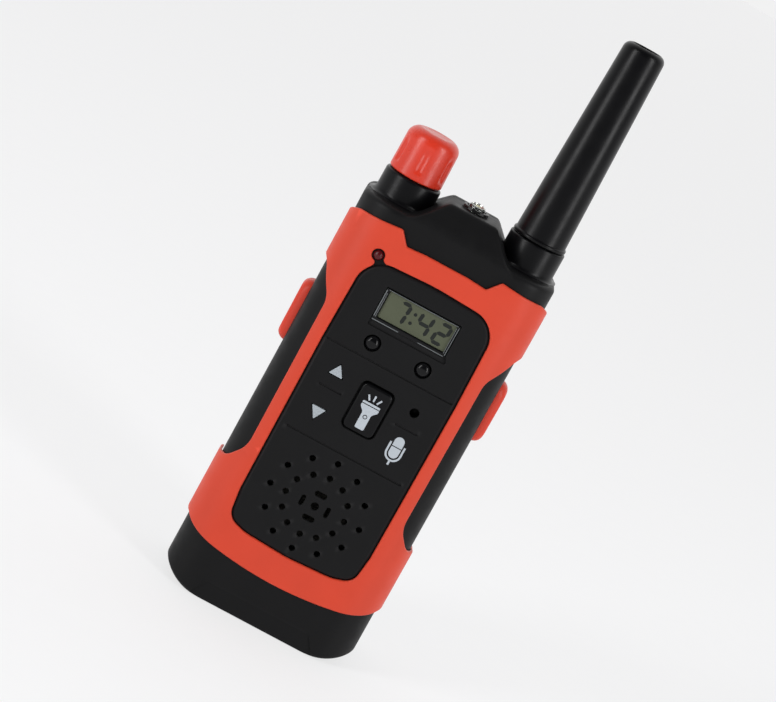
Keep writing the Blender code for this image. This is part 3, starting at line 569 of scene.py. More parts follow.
def surface(name, code, roughness, specular=0.5, metallic=0.0, mottling=0.06, patchiness=0.06,
            grain=0.0, grain_size=0.3, edge_wear_and_sheen=0.0, **sockets):
    """A moulded surface: mottled colour, patchy roughness, fine grain, and sharp edges lightened partly as
    wear and partly as a painted highlight.
    """
    material = bpy.data.materials.new(name)
    material.use_nodes = True
    nodes = material.node_tree.nodes
    links = material.node_tree.links
    shader = nodes["Principled BSDF"]
    colour = linear(code)
    shader.inputs["Specular IOR Level"].default_value = specular
    shader.inputs["Metallic"].default_value = metallic
    for socket, value in sockets.items():
        shader.inputs[socket.replace("_", " ")].default_value = value

    place = nodes.new("ShaderNodeTexCoord").outputs["Object"]

    def noise(size, detail):
        node = nodes.new("ShaderNodeTexNoise")
        node.inputs["Scale"].default_value = 1 / (size * MM)
        node.inputs["Detail"].default_value = detail
        links.new(place, node.inputs["Vector"])
        return node.outputs["Fac"]

    def spread(value, low, high):
        node = nodes.new("ShaderNodeMapRange")
        node.inputs["From Min"].default_value = 0.3
        node.inputs["From Max"].default_value = 0.7
        node.inputs["To Min"].default_value = low
        node.inputs["To Max"].default_value = high
        links.new(value, node.inputs["Value"])
        return node.outputs["Result"]

    def mix(share, first, second):
        node = nodes.new("ShaderNodeMix")
        node.data_type = "RGBA"
        links.new(share, node.inputs["Factor"])
        for socket, value in ((node.inputs["A"], first), (node.inputs["B"], second)):
            if isinstance(value, bpy.types.NodeSocket):
                links.new(value, socket)
            else:
                socket.default_value = (*value, 1.0)
        return node.outputs["Result"]

    shade = mix(
        spread(noise(9.0, 5.0), 0.0, 1.0),
        [v * (1 - mottling) for v in colour],
        [min(v * (1 + mottling), 1.0) for v in colour],
    )
    # Pointiness lightens the sharp edges: partly wear, partly a painted highlight along them.
    if edge_wear_and_sheen:
        edges = nodes.new("ShaderNodeMapRange")
        edges.inputs["From Min"].default_value = 0.53
        edges.inputs["From Max"].default_value = 0.62
        edges.inputs["To Max"].default_value = edge_wear_and_sheen
        links.new(nodes.new("ShaderNodeNewGeometry").outputs["Pointiness"], edges.inputs["Value"])
        shade = mix(edges.outputs["Result"], shade, [min(v * 1.5 + 0.03, 1.0) for v in colour])
    links.new(shade, shader.inputs["Base Color"])
    rough = spread(noise(3.5, 6.0), max(roughness - patchiness, 0.0), min(roughness + patchiness, 1.0))
    links.new(rough, shader.inputs["Roughness"])
    if grain:
        bump = nodes.new("ShaderNodeBump")
        bump.inputs["Distance"].default_value = grain * MM
        bump.inputs["Strength"].default_value = 1.0
        links.new(noise(grain_size, 3.0), bump.inputs["Height"])
        links.new(bump.outputs["Normal"], shader.inputs["Normal"])
    return material


BLACK = surface("black_satin", "101011", 0.5, 0.14, grain=0.006, grain_size=0.35, edge_wear_and_sheen=0.25)
PANEL = surface("panel_matte", "121213", 0.56, 0.14, grain=0.008, grain_size=0.3, edge_wear_and_sheen=0.2)
GLOSS = surface("black_gloss", "08080a", 0.32, 0.16, patchiness=0.04, grain=0.002, grain_size=1.2, edge_wear_and_sheen=0.15)
ARMOUR = surface("armour_satin", "cb412a", 0.46, 0.25, mottling=0.03, grain=0.006, grain_size=0.3, edge_wear_and_sheen=0.35)
KNOB = surface("knob_gloss", "cc3420", 0.3, 0.4, mottling=0.04, patchiness=0.05,
               grain=0.003, grain_size=0.8, edge_wear_and_sheen=0.2)
PAD = surface("pad_satin", "cb3a26", 0.42, 0.25, mottling=0.04, grain=0.005, grain_size=0.3, edge_wear_and_sheen=0.2)
BUTTON = surface("button_gloss", "0a0a0c", 0.16, 0.2, patchiness=0.04, grain=0.002, grain_size=0.8, edge_wear_and_sheen=0.15)
PRINT = surface("print_white", "b0b7be", 0.5, 0.2, mottling=0.03, grain=0.003, grain_size=0.2)
KEY_WHITE = surface("key_white", "9fa6ac", 0.5, 0.2, mottling=0.03, grain=0.003, grain_size=0.3)
LCD = surface("lcd_back", "515545", 0.35, 0.12, mottling=0.05, patchiness=0.03, grain=0.001, grain_size=0.15)
DIGIT = surface("lcd_digit", "1f2220", 0.4, 0.2, mottling=0.05, patchiness=0.03)
CLEAR = surface("clear_lens", "eef2f2", 0.05, 0.5, mottling=0.01, patchiness=0.02,
                Transmission_Weight=1.0, IOR=1.45)
SILVER = surface("reflector", "d8d7d2", 0.25, 0.5, mottling=0.03, metallic=0.9, patchiness=0.05, edge_wear_and_sheen=0.2)
# Light grey for thin lines that are painted highlights along the lens's edges.
LENS_HIGHLIGHT = surface("painted_lens_highlight", "5c6062", 0.3, 0.5, patchiness=0.05, grain=0.002, grain_size=0.6)
RED = surface("red_lens", "5a0912", 0.3, 0.25, patchiness=0.03, Transmission_Weight=0.3, IOR=1.5)
DIE = surface("led_die", "ece4bb", 0.4, 0.4, mottling=0.1)
METAL = surface("plated_metal", "c9c8c4", 0.28, metallic=1.0, patchiness=0.1,
                grain=0.003, grain_size=0.5, edge_wear_and_sheen=0.2)
DARK_METAL = surface("dark_metal", "3f3f40", 0.42, metallic=0.9, patchiness=0.12,
                     grain=0.006, grain_size=0.4, edge_wear_and_sheen=0.3)
BOARD = surface("solder_mask", "14562f", 0.38, 0.5, mottling=0.18, grain=0.01, grain_size=0.8)
WRAP = surface("cell_wrap", "3f6b93", 0.33, 0.5, mottling=0.05, grain=0.002, grain_size=1.5, edge_wear_and_sheen=0.2)
PAPER = surface("pressed_paper", "34332f", 0.85, 0.2, mottling=0.2, grain=0.03, grain_size=0.35)
RUBBER = surface("rubber", "151515", 0.7, 0.25, mottling=0.1, grain=0.01, grain_size=0.25)
RED_WIRE = surface("red_wire", "a01c1c", 0.45, 0.4, mottling=0.08, grain=0.004, grain_size=0.4)
TRAY = surface("tray_black", "232324", 0.6, 0.3, mottling=0.08, grain=0.01, grain_size=0.4, edge_wear_and_sheen=0.3)

CARRIED = (
    (BOARD, ("clock_board", "key_board", "main_board")),
    (GLOSS, ("radio_chip", "torch_ring")),
    (DARK_METAL, ("speaker_frame", "speaker_magnet", "key_switch_up", "key_switch_down", "key_switch_torch",
                  "ptt_switch_left", "ptt_switch_right", "volume_pot")),
    (METAL, ("clock_cell", "mic_capsule", "pot_shaft", "antenna_wire", "battery_spring_1", "battery_spring_2",
             "battery_spring_3", "contact_plate_bottom", "contact_plate_top", "clip_pin", "clip_spring")),
    (PAPER, ("speaker_cone",)),
    (RUBBER, ("mic_gasket", "battery_lead_black", "speaker_lead_black")),
    (RED_WIRE, ("battery_lead_red", "speaker_lead_red")),
    (WRAP, ("battery_1", "battery_2", "battery_3")),
    (TRAY, ("battery_tray", "clip_bracket")),
)


def dress_carried_nodes():
    """Gives the CAD nodes that still show their procedural materials."""
    for material, names in CARRIED:
        for name in names:
            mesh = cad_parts[name].data
            mesh.materials.clear()
            mesh.materials.append(material)


# ---------------------------------------------------------------- housing

def section(z, inset):
    """The housing's rounded-rectangle section at a height, set in, counter-clockwise from the front."""
    half_x = half_width(z) - inset
    half_y = CORE_HALF_DEPTH - inset
    corner = max(CORE_CORNER - inset, 1.0)
    front_run = 34
    arc_steps = 18
    quarter = [((half_x - corner) * i / front_run, -half_y) for i in range(front_run)]
    for step in range(arc_steps + 1):
        angle = math.pi / 2 * step / arc_steps
        x = half_x - corner + corner * math.sin(angle)
        quarter.append((x, -half_y + corner - corner * math.cos(angle)))
    right = quarter + [(x, -y) for x, y in reversed(quarter)]
    left = [(-x, y) for x, y in reversed(right[1:-1])]
    return [(x, y + CORE_MIDDLE) for x, y in right + left]


def base_height(x, z=0.0):
    """How far the base curves up at a distance from the middle, fading out above it."""
    past = max(abs(x) - BASE_FLAT, 0.0)
    return BASE_CURVE * past * past * max(0.0, 1.0 - z / BASE_FADE)


def quarter_round(distance, radius):
    """The height of a rounded edge at a distance in from the wall."""
    past = radius - min(distance, radius)
    return math.sqrt(radius * radius - past * past)


def smooth_high(first, second, blend):
    """The higher of two heights, with a fillet between them."""
    share = max(blend - abs(first - second), 0.0) / blend
    return max(first, second) + share * share * blend / 4


def hump_height(x, y):
    """The hump's surface: a level top, sloping sides and back, and a front that leans back from the wall."""
    turn = math.atan(1 / LEAN)
    reach = LEAN_ROUND * math.tan(turn / 2)
    distance = max(y - CORE_FRONT, 0.0)
    front = LEAN_FROM + LEAN * distance
    if distance < reach * math.sin(turn):
        front = LEAN_FROM - reach + quarter_round(distance, LEAN_ROUND)
    sides = HUMP_TOP - HUMP_SIDE_SLOPE * (abs(x) - HUMP_HALF)
    back = HUMP_TOP - HUMP_BACK_SLOPE * (y - HUMP_BACK)
    height = HUMP_TOP
    for plane in (front, sides, back):
        height = -smooth_high(-height, -plane, HUMP_EDGE)
    return height


def top_height(x, y, inset):
    """The top's surface: shoulders with a rounded edge, the hump, and a fillet where they meet."""
    height = smooth_high(TOP - TOP_EDGE + quarter_round(inset, TOP_EDGE), hump_height(x, y), SHOULDER_FILLET)
    return min(height, HUMP_TOP)


def grid_inside(loop, step, margin):
    """Points of a square grid that lie inside a loop, some way from its edge."""
    inner = moved(loop, margin)
    xs = [p[0] for p in inner]
    ys = [p[1] for p in inner]
    points = []
    for i in range(math.floor(min(xs) / step), math.ceil(max(xs) / step)):
        for j in range(math.floor(min(ys) / step), math.ceil(max(ys) / step)):
            point = ((i + 0.5) * step, (j + 0.5) * step)
            if inside(point, inner):
                points.append(point)
    return points


def housing_skin():
    """The housing's whole outer surface as one closed solid."""
    shape = Shape()
    rings = []
    edge_steps = 8
    for step in range(edge_steps + 1):
        angle = math.pi / 2 * step / edge_steps
        inset = BOTTOM_EDGE * (1 - math.sin(angle))
        z = BOTTOM_EDGE * (1 - math.cos(angle))
        rings.append([(x, y, z + base_height(x, z)) for x, y in section(z, inset)])
    for z in (4.5, 7.0, 9.5, 12.0, BASE_FADE, 60.0, WALL_RINGS_TOP):
        rings.append([(x, y, z + base_height(x, z)) for x, y in section(z, 0.0)])
    wall_steps = 10
    for step in range(1, wall_steps + 1):
        ring = []
        for x, y in section(TOP, 0.0):
            rise = top_height(x, y, 0.0) - WALL_RINGS_TOP
            ring.append((x, y, WALL_RINGS_TOP + rise * (step / wall_steps) ** 0.6))
        rings.append(ring)
    for step in range(1, edge_steps + 1):
        angle = math.pi / 2 * step / edge_steps
        inset = TOP_EDGE * (1 - math.cos(angle))
        rings.append([(x, y, top_height(x, y, inset)) for x, y in section(TOP, inset)])
    count = len(rings[0])
    shape.points = [Vector(p) for ring in rings for p in ring]
    for level in range(len(rings) - 1):
        for i in range(count):
            j = (i + 1) % count
            low = level * count
            shape.faces.append([low + i, low + j, low + count + j, low + count + i])
    top_loop = [(x, y) for x, y, _ in rings[-1]]
    base_loop = [(x, y) for x, y, _ in rings[0]]
    caps = (
        (base_loop, 0, 2.0, lambda x, y: base_height(x), True),
        (top_loop, (len(rings) - 1) * count, 0.5, lambda x, y: top_height(x, y, TOP_EDGE), False),
    )
    for loop, start, step, height, flipped in caps:
        spare = grid_inside(loop, step, 0.3 * step)
        indices = list(range(start, start + count))
        for x, y in spare:
            indices.append(shape.point((x, y, height(x, y))))
        for triangle in filled([loop], spare):
            corners = [indices[i] for i in triangle]
            shape.faces.append(corners[::-1] if flipped else corners)
    return shape


def hollow_block(inset, low, high):
    """The plain block that hollows the housing out, up to the thick part of its back."""
    rings = []
    for z, edge in ((low, 0.6), (low + 0.6, 0.0), (high - 0.6, 0.0), (high, 0.6)):
        outline = section(z, inset + edge)
        rings.append([(x, min(y, CAVITY_BACK), z + base_height(x, z)) for x, y in outline])
    return loft(rings)


def prism(loop, near, far, flare=0.0):
    """A solid from an outline in the face's plane, from near to far along Y. flare widens it at near."""
    front = moved(loop, -flare)
    return loft([[(x, far, z) for x, z in loop], [(x, near, z) for x, z in front]])


def grown_triangle(key, distance):
    """A triangle moved outwards on every side, counter-clockwise."""
    loop = list(key)
    turn = sum(a[0] * b[1] - b[0] * a[1] for a, b in zip(loop, loop[1:] + loop[:1]))
    if turn < 0:
        loop.reverse()
    grown = []
    for i, here in enumerate(loop):
        before = (Vector(here) - Vector(loop[i - 1])).normalized()
        after = (Vector(loop[(i + 1) % 3]) - Vector(here)).normalized()
        out = (Vector((before.y, -before.x)) + Vector((after.y, -after.x))).normalized()
        stretch = distance / out.dot(Vector((before.y, -before.x)))
        grown.append((here[0] + out.x * stretch, here[1] + out.y * stretch))
    return grown


def front_cutters():
    """What the front shell is cut with: display, keys, loudspeaker, microphone, lamp and foot recess."""
    near = CORE_FRONT - 3.0
    far = CORE_FRONT + WALL + 1.0
    low = (LCD_LOW.x - 0.8, LCD_LOW.z - 0.6)
    high = (LCD_HIGH.x + 0.8, LCD_HIGH.z + 0.8)
    cutters = [
        prism(rectangle(low, high, 0.5, 3), near, far),
        prism(rectangle((-4.6, 61.4), (4.6, 75.1), 1.3, 4), near, far),
    ]
    bores = [(SPEAKER, 13.9), (MIC, 1.5), (POWER_LED, 1.65)]
    bores += [(middle(name), CLOCK_BUTTON_HOLE) for name in CLOCK_BUTTONS]
    for at, radius in bores:
        cutters.append(rod((at.x, 0, at.z), "Y", radius, near, far))
    for key in (UP_KEY, DOWN_KEY):
        cutters.append(prism(grown_triangle(key, 0.3), near, far))
    foot = rounded([(-18.6, -3.0, 0.0), (18.6, -3.0, 0.0), (18.3, 0.6, 0.8), (15.3, 5.6, 1.0),
                    (-15.3, 5.6, 1.0), (-18.3, 0.6, 0.8)], 4)
    cutters.append(prism(foot, near, CORE_FRONT + 0.4, 0.5))
    return cutters


def make_housing():
    """Front and rear shells, hollow and cut like the CAD ones, with the surface of one fine, uncut solid."""
    fine = new_object("housing_fine", housing_skin(), 40)
    inner = hollow_block(WALL, WALL + GAP, TOP - WALL)
    back_room = box((-21, CAVITY_BACK - 1, 66.5), (21, CORE_BACK - WALL, 114))
    slots = []
    for side in (-1, 1):
        low, high = sorted((side * 20.5, side * 31.5))
        slots.append(box((low, -4.5, 70.1), (high, 4.5, 88.7)))
    holes = [
        rod((KNOB_AT.x, 0, 0), "Z", KNOB_BORE, TOP - 4, TOP + 2.4),
        rod((ANTENNA_AT.x, 0, 0), "Z", ANTENNA_BORE, TOP - 4, TOP + 2.4),
        rod((TORCH_AT.x, TORCH_AT.y, 0), "Z", TORCH_BORE, TOP - 4, HUMP_TOP + 2),
    ]
    hump_room = [
        loft([
            [(-half, front, z), (half, front, z), (half, back, z), (-half, back, z)]
            for z, half, front, back in (
                (TOP - 3.5, 8.0, -11.4, 7.4), (TOP + 0.6, 8.0, -11.4, 7.4), (HUMP_TOP - WALL, 5.3, -7.8, 4.0),
            )
        ]),
    ]
    screws = [middle(name) for name in SCREWS]
    for name, low, high in (("front_shell", -60.0, SPLIT), ("rear_shell", SEAM, 60.0)):
        shell = new_object(name, housing_skin())
        steps = [("DIFFERENCE", [inner]), ("DIFFERENCE", [back_room]), ("DIFFERENCE", hump_room)]
        if name == "front_shell":
            steps.append(("DIFFERENCE", front_cutters()))
        else:
            steps.append(("DIFFERENCE", [box((-18.5, CORE_BACK - 1.7, -3), (18.5, 20, 64.3))]))
            steps.append(("DIFFERENCE", [box((-17.2, 10, 9.3), (17.2, 18, 62.3))]))
            bore = [(0, 0), (1.4, 0), (1.4, 9.3), (2.5, 9.3), (2.5, CORE_BACK - 0.3),
                    (3.1, CORE_BACK + 0.3), (3.1, 17), (0, 17)]
            steps.append(("UNION", [rod((at.x, 0, at.z), "Y", 3.6, 6.0, 14.5) for at in screws]))
            steps.append(("DIFFERENCE", [turned(bore, (at.x, 0, at.z), "Y", 32) for at in screws]))
        steps.append(("DIFFERENCE", slots))
        steps.append(("DIFFERENCE", holes))
        steps.append(("INTERSECT", [box((-60, low, -20), (60, high, 200))]))
        cut(shell, steps)
        follow(shell, fine)
        settle(shell, BLACK, stands_for=[name.replace("shell", "housing")])
    bpy.data.objects.remove(fine)


def make_seam_lip():
    """The lip inside the lower walls that the two shells close over, which blocks light at their seam."""
    paths = []
    for inset in (0.7, WALL + 0.1):
        half = half_width(0) - inset
        floor = [(half * i / 24, base_height(half * i / 24) + inset) for i in range(-24, 25)]
        paths.append([(-half, 66.0), *floor, (half, 66.0)])
    outer, inner = paths
    piece("seam_lip", prism(outer + inner[::-1], SPLIT - 1.2, SEAM + 1.2), BLACK)


# ---------------------------------------------------------------- armour and face

def armour_outline():
    """The armour's edge as (u, z): notched top, swept side windows that open to the rear, curved bottom."""
    end = ARMOUR_SIDE_END
    right = [(u, ARMOUR_FOOT + ARMOUR_FOOT_CURVE * u * u, 0.0) for u in range(1, 31)]
    right += [
        (end, 18.4, 2.0), (end, 35.2, 2.0), (27.4, 38.0, 6.0), (22.8, 43.6, 8.0),
        (22.8, 88.9, 6.0), (29.2, 97.0, 5.0), (end, 97.2, 2.0), (end, 107.0, 3.0), (33.5, 110.8, 8.0),
        (27.0, 112.85, 8.0), (20.0, 113.5, 8.0), (14.25, 114.1, 0.9), (11.35, 110.6, 0.8), (6.0, 111.0, 8.0),
    ]
    return divided(rounded([(0.0, ARMOUR_FOOT, 0.0), *right, *mirrored(right)], 7), 1.6)


def panel_outline():
    """The face panel's edge: slightly arched ends, large top corners and tucked-in bottom corners."""
    right = [
        (12.8, 23.3, 12.0), (18.1, 25.0, 3.8), (18.95, 33.0, 8.0), (18.95, 80.0, 10.0), (18.35, 103.75, 7.0),
    ]
    return rounded([(0.0, 22.55, 40.0), *right, (0.0, 104.6, 60.0), *mirrored(right)], 8)


def key_pad_outline(growth, radius, steps):
    """The torch key pad's rounded rectangle, grown on every side."""
    low_x, low_z, high_x, high_z = KEY_PAD
    return rectangle((low_x - growth, low_z - growth), (high_x + growth, high_z + growth), radius, steps)


def panel_hole():
    """The armour's opening round the panel, which runs through a short neck into the lamp's hole."""
    loop = divided(moved(panel_outline(), -PANEL_GAP), 0.5)
    lamp = Vector((POWER_LED.x, POWER_LED.z))
    radius = 1.68
    neck = 1.0
    nearest = min((Vector(p) - lamp).length for p in loop)
    kept = [Vector(p) for p in loop if (Vector(p) - lamp).length > math.hypot(nearest, neck + 0.3)]
    gap_at = max(range(len(kept)), key=lambda i: (kept[i] - kept[i - 1]).length)
    before, after = kept[gap_at - 1], kept[gap_at]
    facing = (lamp - (before + after) / 2).normalized()
    start = math.atan2(-facing.y, -facing.x)
    half = math.asin(neck / radius)
    steps = 36
    ring = []
    for step in range(steps + 1):
        angle = start - half - (math.tau - 2 * half) * step / steps
        ring.append(lamp + Vector((math.cos(angle), math.sin(angle))) * radius)
    if (ring[0] - before).length > (ring[-1] - before).length:
        ring.reverse()
    joined = kept[:gap_at] + ring + kept[gap_at:]
    joined = [Vector(p) for p in divided([tuple(p) for p in joined], 0.5)]
    for _ in range(6):
        joined = [
            (joined[i - 1] + here * 2 + joined[(i + 1) % len(joined)]) / 4
            if 1.2 < (here - lamp).length < 3.2 and (here - lamp).dot(facing) < -1.0 else here
            for i, here in enumerate(joined)
        ]
    return [tuple(p) for p in joined]


def make_armour():
    """The orange frame, one curved plate over the front and sides with a rolled lip along every edge."""
    outline = armour_outline()
    hole = panel_hole()
    wide = moved(hole, 0.8)
    spare = []
    for side in (-1, 1):
        for step in range(32):
            u = side * (19.8 + 0.75 * step)
            for z in range(15, 113, 3):
                if inside((u, z), moved(outline, 0.8)) and not inside((u, z), wide):
                    spare.append((u, float(z)))
    shape = sheet(wall_skin, ARMOUR_OUTER, ARMOUR_INNER, (outline, 0.5), [(hole, 0.4)], spare=spare)
    piece("armour", shape, ARMOUR, stands_for=["armour_bezel"])


def speaker_holes():
    """Two rings of round holes, four slots and a middle hole in front of the loudspeaker."""
    holes = [circle((SPEAKER.x, SPEAKER.z), 1.1, 20)]
    for ring_radius in (13.1, 8.6):
        for i in range(12):
            angle = math.tau * i / 12
            at = (SPEAKER.x + ring_radius * math.cos(angle), SPEAKER.z + ring_radius * math.sin(angle))
            holes.append(circle(at, 0.86, 20))
    slots = ((0, 3.5, 1.7, 0.75), (0, -3.7, 1.7, 0.75), (-3.7, 0, 0.6, 1.5), (3.6, 0, 0.6, 1.5))
    for x, z, half_x, half_z in slots:
        x += SPEAKER.x
        z += SPEAKER.z
        corner = min(half_x, half_z) - 0.1
        holes.append(rectangle((x - half_x, z - half_z), (x + half_x, z + half_z), corner, 4))
    return holes


def groove(low_x, high_x, z, half=0.24):
    """A narrow straight groove's outline."""
    return rectangle((low_x, z - half), (high_x, z + half), half * 0.8, 3)


def make_panel():
    """The black face panel with its openings, grooves and loudspeaker holes."""
    holes = [(loop, 0.18) for loop in speaker_holes()]
    holes.append((key_pad_outline(0.45, 1.75, 7), 0.25))
    holes.append((circle((MIC.x, MIC.z), 1.28, 24), 0.2))
    for name in CLOCK_BUTTONS:
        at = middle(name)
        holes.append((circle((at.x, at.z), CLOCK_BUTTON_HOLE, 36), 0.15))
    for key in (UP_KEY, DOWN_KEY):
        holes.append((rounded([(*p, 0.12) for p in grown_triangle(key, 0.14)], 3), 0.08))
    holes.append((display_outline(), 0.3))
    pockets = [
        (groove(-18.4, 18.4, 80.2), 0.12, 0.45),
        (groove(-16.6, 17.0, 54.6), 0.12, 0.45),
        (groove(-14.5, -7.9, 68.6), 0.12, 0.4),
        (groove(7.8, 14.2, 68.6), 0.12, 0.4),
    ]
    covered = [entry[0] for entry in holes + pockets]
    grid = grid_inside(panel_outline(), 0.9, 1.3)
    spare = [p for p in grid if not any(inside(p, loop) for loop in covered)]
    shape = sheet(front_skin, FACE, PANEL_FOOT, (panel_outline(), 0.8), holes, pockets, spare)
    piece("panel", shape, PANEL, stands_for=["face_panel"])


def display_outline():
    """The display's opening: the lens's rectangle with a ledge that widens below it."""
    low, high = LCD_LOW, LCD_HIGH
    gap = 0.12
    return rounded([
        (low.x - 0.3, LEDGE_FOOT, 0.4), (high.x + 1.3, LEDGE_FOOT, 0.4), (high.x + gap, low.z + 0.5, 0.3),
        (high.x + gap, high.z + gap, 0.3), (low.x - gap, high.z + gap, 0.3), (low.x - gap, low.z + 0.5, 0.3),
    ], 4)


def seven_segment(at, height, width, lit, thickness, slant):
    """The outlines of a seven-segment figure's lit bars."""
    half = height / 2
    bars = {
        "top": ((0, height), (width, height)),
        "middle": ((0, half), (width, half)),
        "bottom": ((0, 0), (width, 0)),
        "top_left": ((0, half), (0, height)), "top_right": ((width, half), (width, height)),
        "bottom_left": ((0, 0), (0, half)), "bottom_right": ((width, 0), (width, half)),
    }
    outlines = []
    for name in lit:
        start, end = (Vector(p) for p in bars[name])
        run = (end - start).normalized()
        side = Vector((-run.y, run.x)) * thickness / 2
        start += run * thickness * 0.06
        end -= run * thickness * 0.06
        point = run * thickness / 2
        loop = [start, start + point - side, end - point - side]
        loop += [end, end - point + side, start + point + side]
        outlines.append([(at[0] + p.x + slant * p.y, at[1] + p.y) for p in loop])
    return outlines


def stamp(name, loops, low, high, material, body="housing", edge=0.02, holes=()):
    """One raised print from several separate outlines on the front's plane. The first one has the holes."""
    joined = Shape()
    for number, loop in enumerate(loops):
        openings = [(hole, edge) for hole in holes] if number == 0 else ()
        joined.add(sheet(front_skin, high, low, (loop, edge), openings))
    piece(name, joined, material, body)


def make_display():
    """The clock display: glass with figures, a dark lens frame with thin light lines that are painted
    highlights of its edges, and the ledge below.
    """
    glass_low, glass_high = (-9.55, 91.1), (9.75, 98.65)
    back = -span("lcd_module")[1].y
    glass_front = FACE - 0.6
    shape = sheet(front_skin, glass_front, back, (rectangle(glass_low, glass_high, 0.3, 3), 0.1))
    piece("lcd_glass", shape, LCD, stands_for=["lcd_module"])
    bottom = 92.2
    height = 5.4
    slant = 0.1
    stroke = 1.0
    figures = []
    for x, width, lit in (
        (-6.0, 2.55, ("top", "top_right", "bottom_right")),
        (0.1, 3.1, ("top_left", "middle", "top_right", "bottom_right")),
        (5.35, 2.85, ("top", "top_right", "middle", "bottom_left", "bottom")),
    ):
        figures += seven_segment((x, bottom), height, width, lit, stroke, slant)
    figures.append(circle((-1.37, 93.6), 0.48, 12))
    figures.append(circle((-1.14, 96.2), 0.48, 12))
    stamp("lcd_figures", figures, glass_front - 0.02, glass_front + 0.03, DIGIT)

    low = (LCD_LOW.x, LCD_LOW.z)
    high = (LCD_HIGH.x, LCD_HIGH.z)
    crown = FACE - 0.1
    clear = 0.05
    opening_low = (glass_low[0] - clear, glass_low[1] - clear)
    opening = rectangle(opening_low, (glass_high[0] + clear, glass_high[1] + clear), 0.35, 4)
    rim = sheet(front_skin, crown, PANEL_FOOT + 0.2, (rectangle(low, high, 0.4, 4), 0.2), [(opening, 0.25)])
    piece("lens_rim", rim, GLOSS, stands_for=["lcd_window"])
    # Thin light lines round the lens frame: painted highlights of its edges.
    highlight_lines = [
        rectangle((low[0] + 0.12, low[1] + 1.0), (low[0] + 0.4, high[1] - 0.5), 0.1, 2),
        rectangle((glass_low[0] - 0.5, low[1] + 0.9), (glass_low[0] - 0.36, high[1] - 1.3), 0.05, 2),
        rectangle((low[0] + 0.7, high[1] - 0.42), (high[0] - 0.6, high[1] - 0.26), 0.05, 2),
        rectangle((high[0] - 0.36, low[1] + 0.5), (high[0] - 0.18, high[1] - 0.5), 0.05, 2),
        rectangle((high[0] - 0.85, low[1] + 0.9), (high[0] - 0.72, high[1] - 0.8), 0.05, 2),
        rectangle((low[0] + 0.15, low[1] + 0.06), (-2.9, low[1] + 0.3), 0.08, 2),
        rectangle((2.7, low[1] + 0.06), (high[0] - 0.5, low[1] + 0.26), 0.08, 2),
    ]
    stamp("lens_highlight_lines", highlight_lines, crown - 0.02, crown + 0.02, LENS_HIGHLIGHT, edge=0.01)
    ledge_top = LCD_LOW.z + 0.1
    ledge_foot = LEDGE_FOOT - 0.3
    ledge_back = -PANEL_FOOT + 0.1
    ledge = loft([
        [(x, -FACE + 1.0, ledge_top), (x, ledge_back, ledge_top),
         (x, ledge_back, ledge_foot), (x, -FACE + 0.3, ledge_foot)]
        for x in (LCD_LOW.x - 0.8, LCD_HIGH.x + 1.5)
    ])
    piece("display_ledge", ledge, PANEL)


def make_clock_buttons():
    """Two small domed buttons below the display."""
    radius = 1.97
    flange = radius + 0.7
    for name in CLOCK_BUTTONS:
        low, high = span(name)
        crown, foot = -low.y, -high.y
        profile = rounded([
            (0, crown, 0), (0, foot, 0), (flange, foot, 0.05), (flange, foot + 0.4, 0.1),
            (radius, foot + 0.4, 0.1), (radius, crown - 1.0, 0.8), (radius * 0.62, crown - 0.18, 1.5),
        ], 6)
        piece(f"{name}_dome", turned_out(profile, middle(name)), BUTTON, name, [name])


def make_torch_key():
    """The torch key: a glossy pad with a rounded edge, and its flashlight sign."""
    crown = -KEY_LOW.y
    foot = -KEY_HIGH.y
    shape = sheet(front_skin, crown, foot + 0.4, (key_pad_outline(0, 1.45, 8), 0.6))
    shape.add(sheet(front_skin, foot + 0.4, foot, (key_pad_outline(1, 1, 4), 0.1)))
    piece("torch_key_pad", shape, GLOSS, "torch_key", ["torch_key"])

    rays = []
    centre = 0.12
    for foot_x, foot_z, tip_x, tip_z in (
        (-0.95, 70.95, -1.7, 72.35), (centre, 71.1, centre, 72.8), (1.2, 70.95, 2.05, 72.35),
    ):
        start, end = Vector((foot_x, foot_z)), Vector((tip_x, tip_z))
        run = (end - start).normalized()
        side = Vector((run.y, -run.x)) * 0.23
        rays.append([tuple(p) for p in (start - side, start + side, end + side, end - side)])
    bar = [(-2.5, 69.85, 0.1), (2.5, 69.85, 0.1), (2.5, 70.45, 0.3), (-2.5, 70.45, 0.3)]
    bar = rounded([(centre + x, z, radius) for x, z, radius in bar], 4)
    right = [(1.28, 62.95, 0.4), (1.28, 67.6, 1.2), (2.5, 68.8, 1.0), (2.5, 69.6, 0.1)]
    body = rounded([(centre + x, z, radius) for x, z, radius in right + mirrored(right)], 5)
    button, dot = (circle((centre, 66.5), radius, 20) for radius in (0.62, 0.4))
    low, high = crown - 0.02, crown + 0.03
    stamp("torch_sign", [body, bar, *rays], low, high, PRINT, "torch_key", holes=[button])
    stamp("torch_sign_button", [dot], low, high, PRINT, "torch_key")


def make_arrow_keys():
    """The up and down keys: small white triangles, flush with the panel."""
    for name, key in (("up_key", UP_KEY), ("down_key", DOWN_KEY)):
        foot = -span(name)[1].y
        outline = rounded([(*p, 0.15) for p in grown_triangle(key, -0.05)], 3)
        shape = sheet(front_skin, FACE + 0.02, foot + 0.4, (outline, 0.08))
        x = sum(p[0] for p in key) / 3
        z = sum(p[1] for p in key) / 3
        shape.add(sheet(front_skin, foot + 0.4, foot, (circle((x, z), 3.2, 32), 0.1)))
        piece(f"{name}_face", shape, KEY_WHITE, name, [name])


def arc(centre, radius, start, sweep, steps=14):
    """Points along an arc; the angles are in half turns."""
    points = []
    for step in range(steps + 1):
        angle = math.pi * (start + sweep * step / steps)
        points.append((centre[0] + radius * math.cos(angle), centre[1] + radius * math.sin(angle)))
    return points


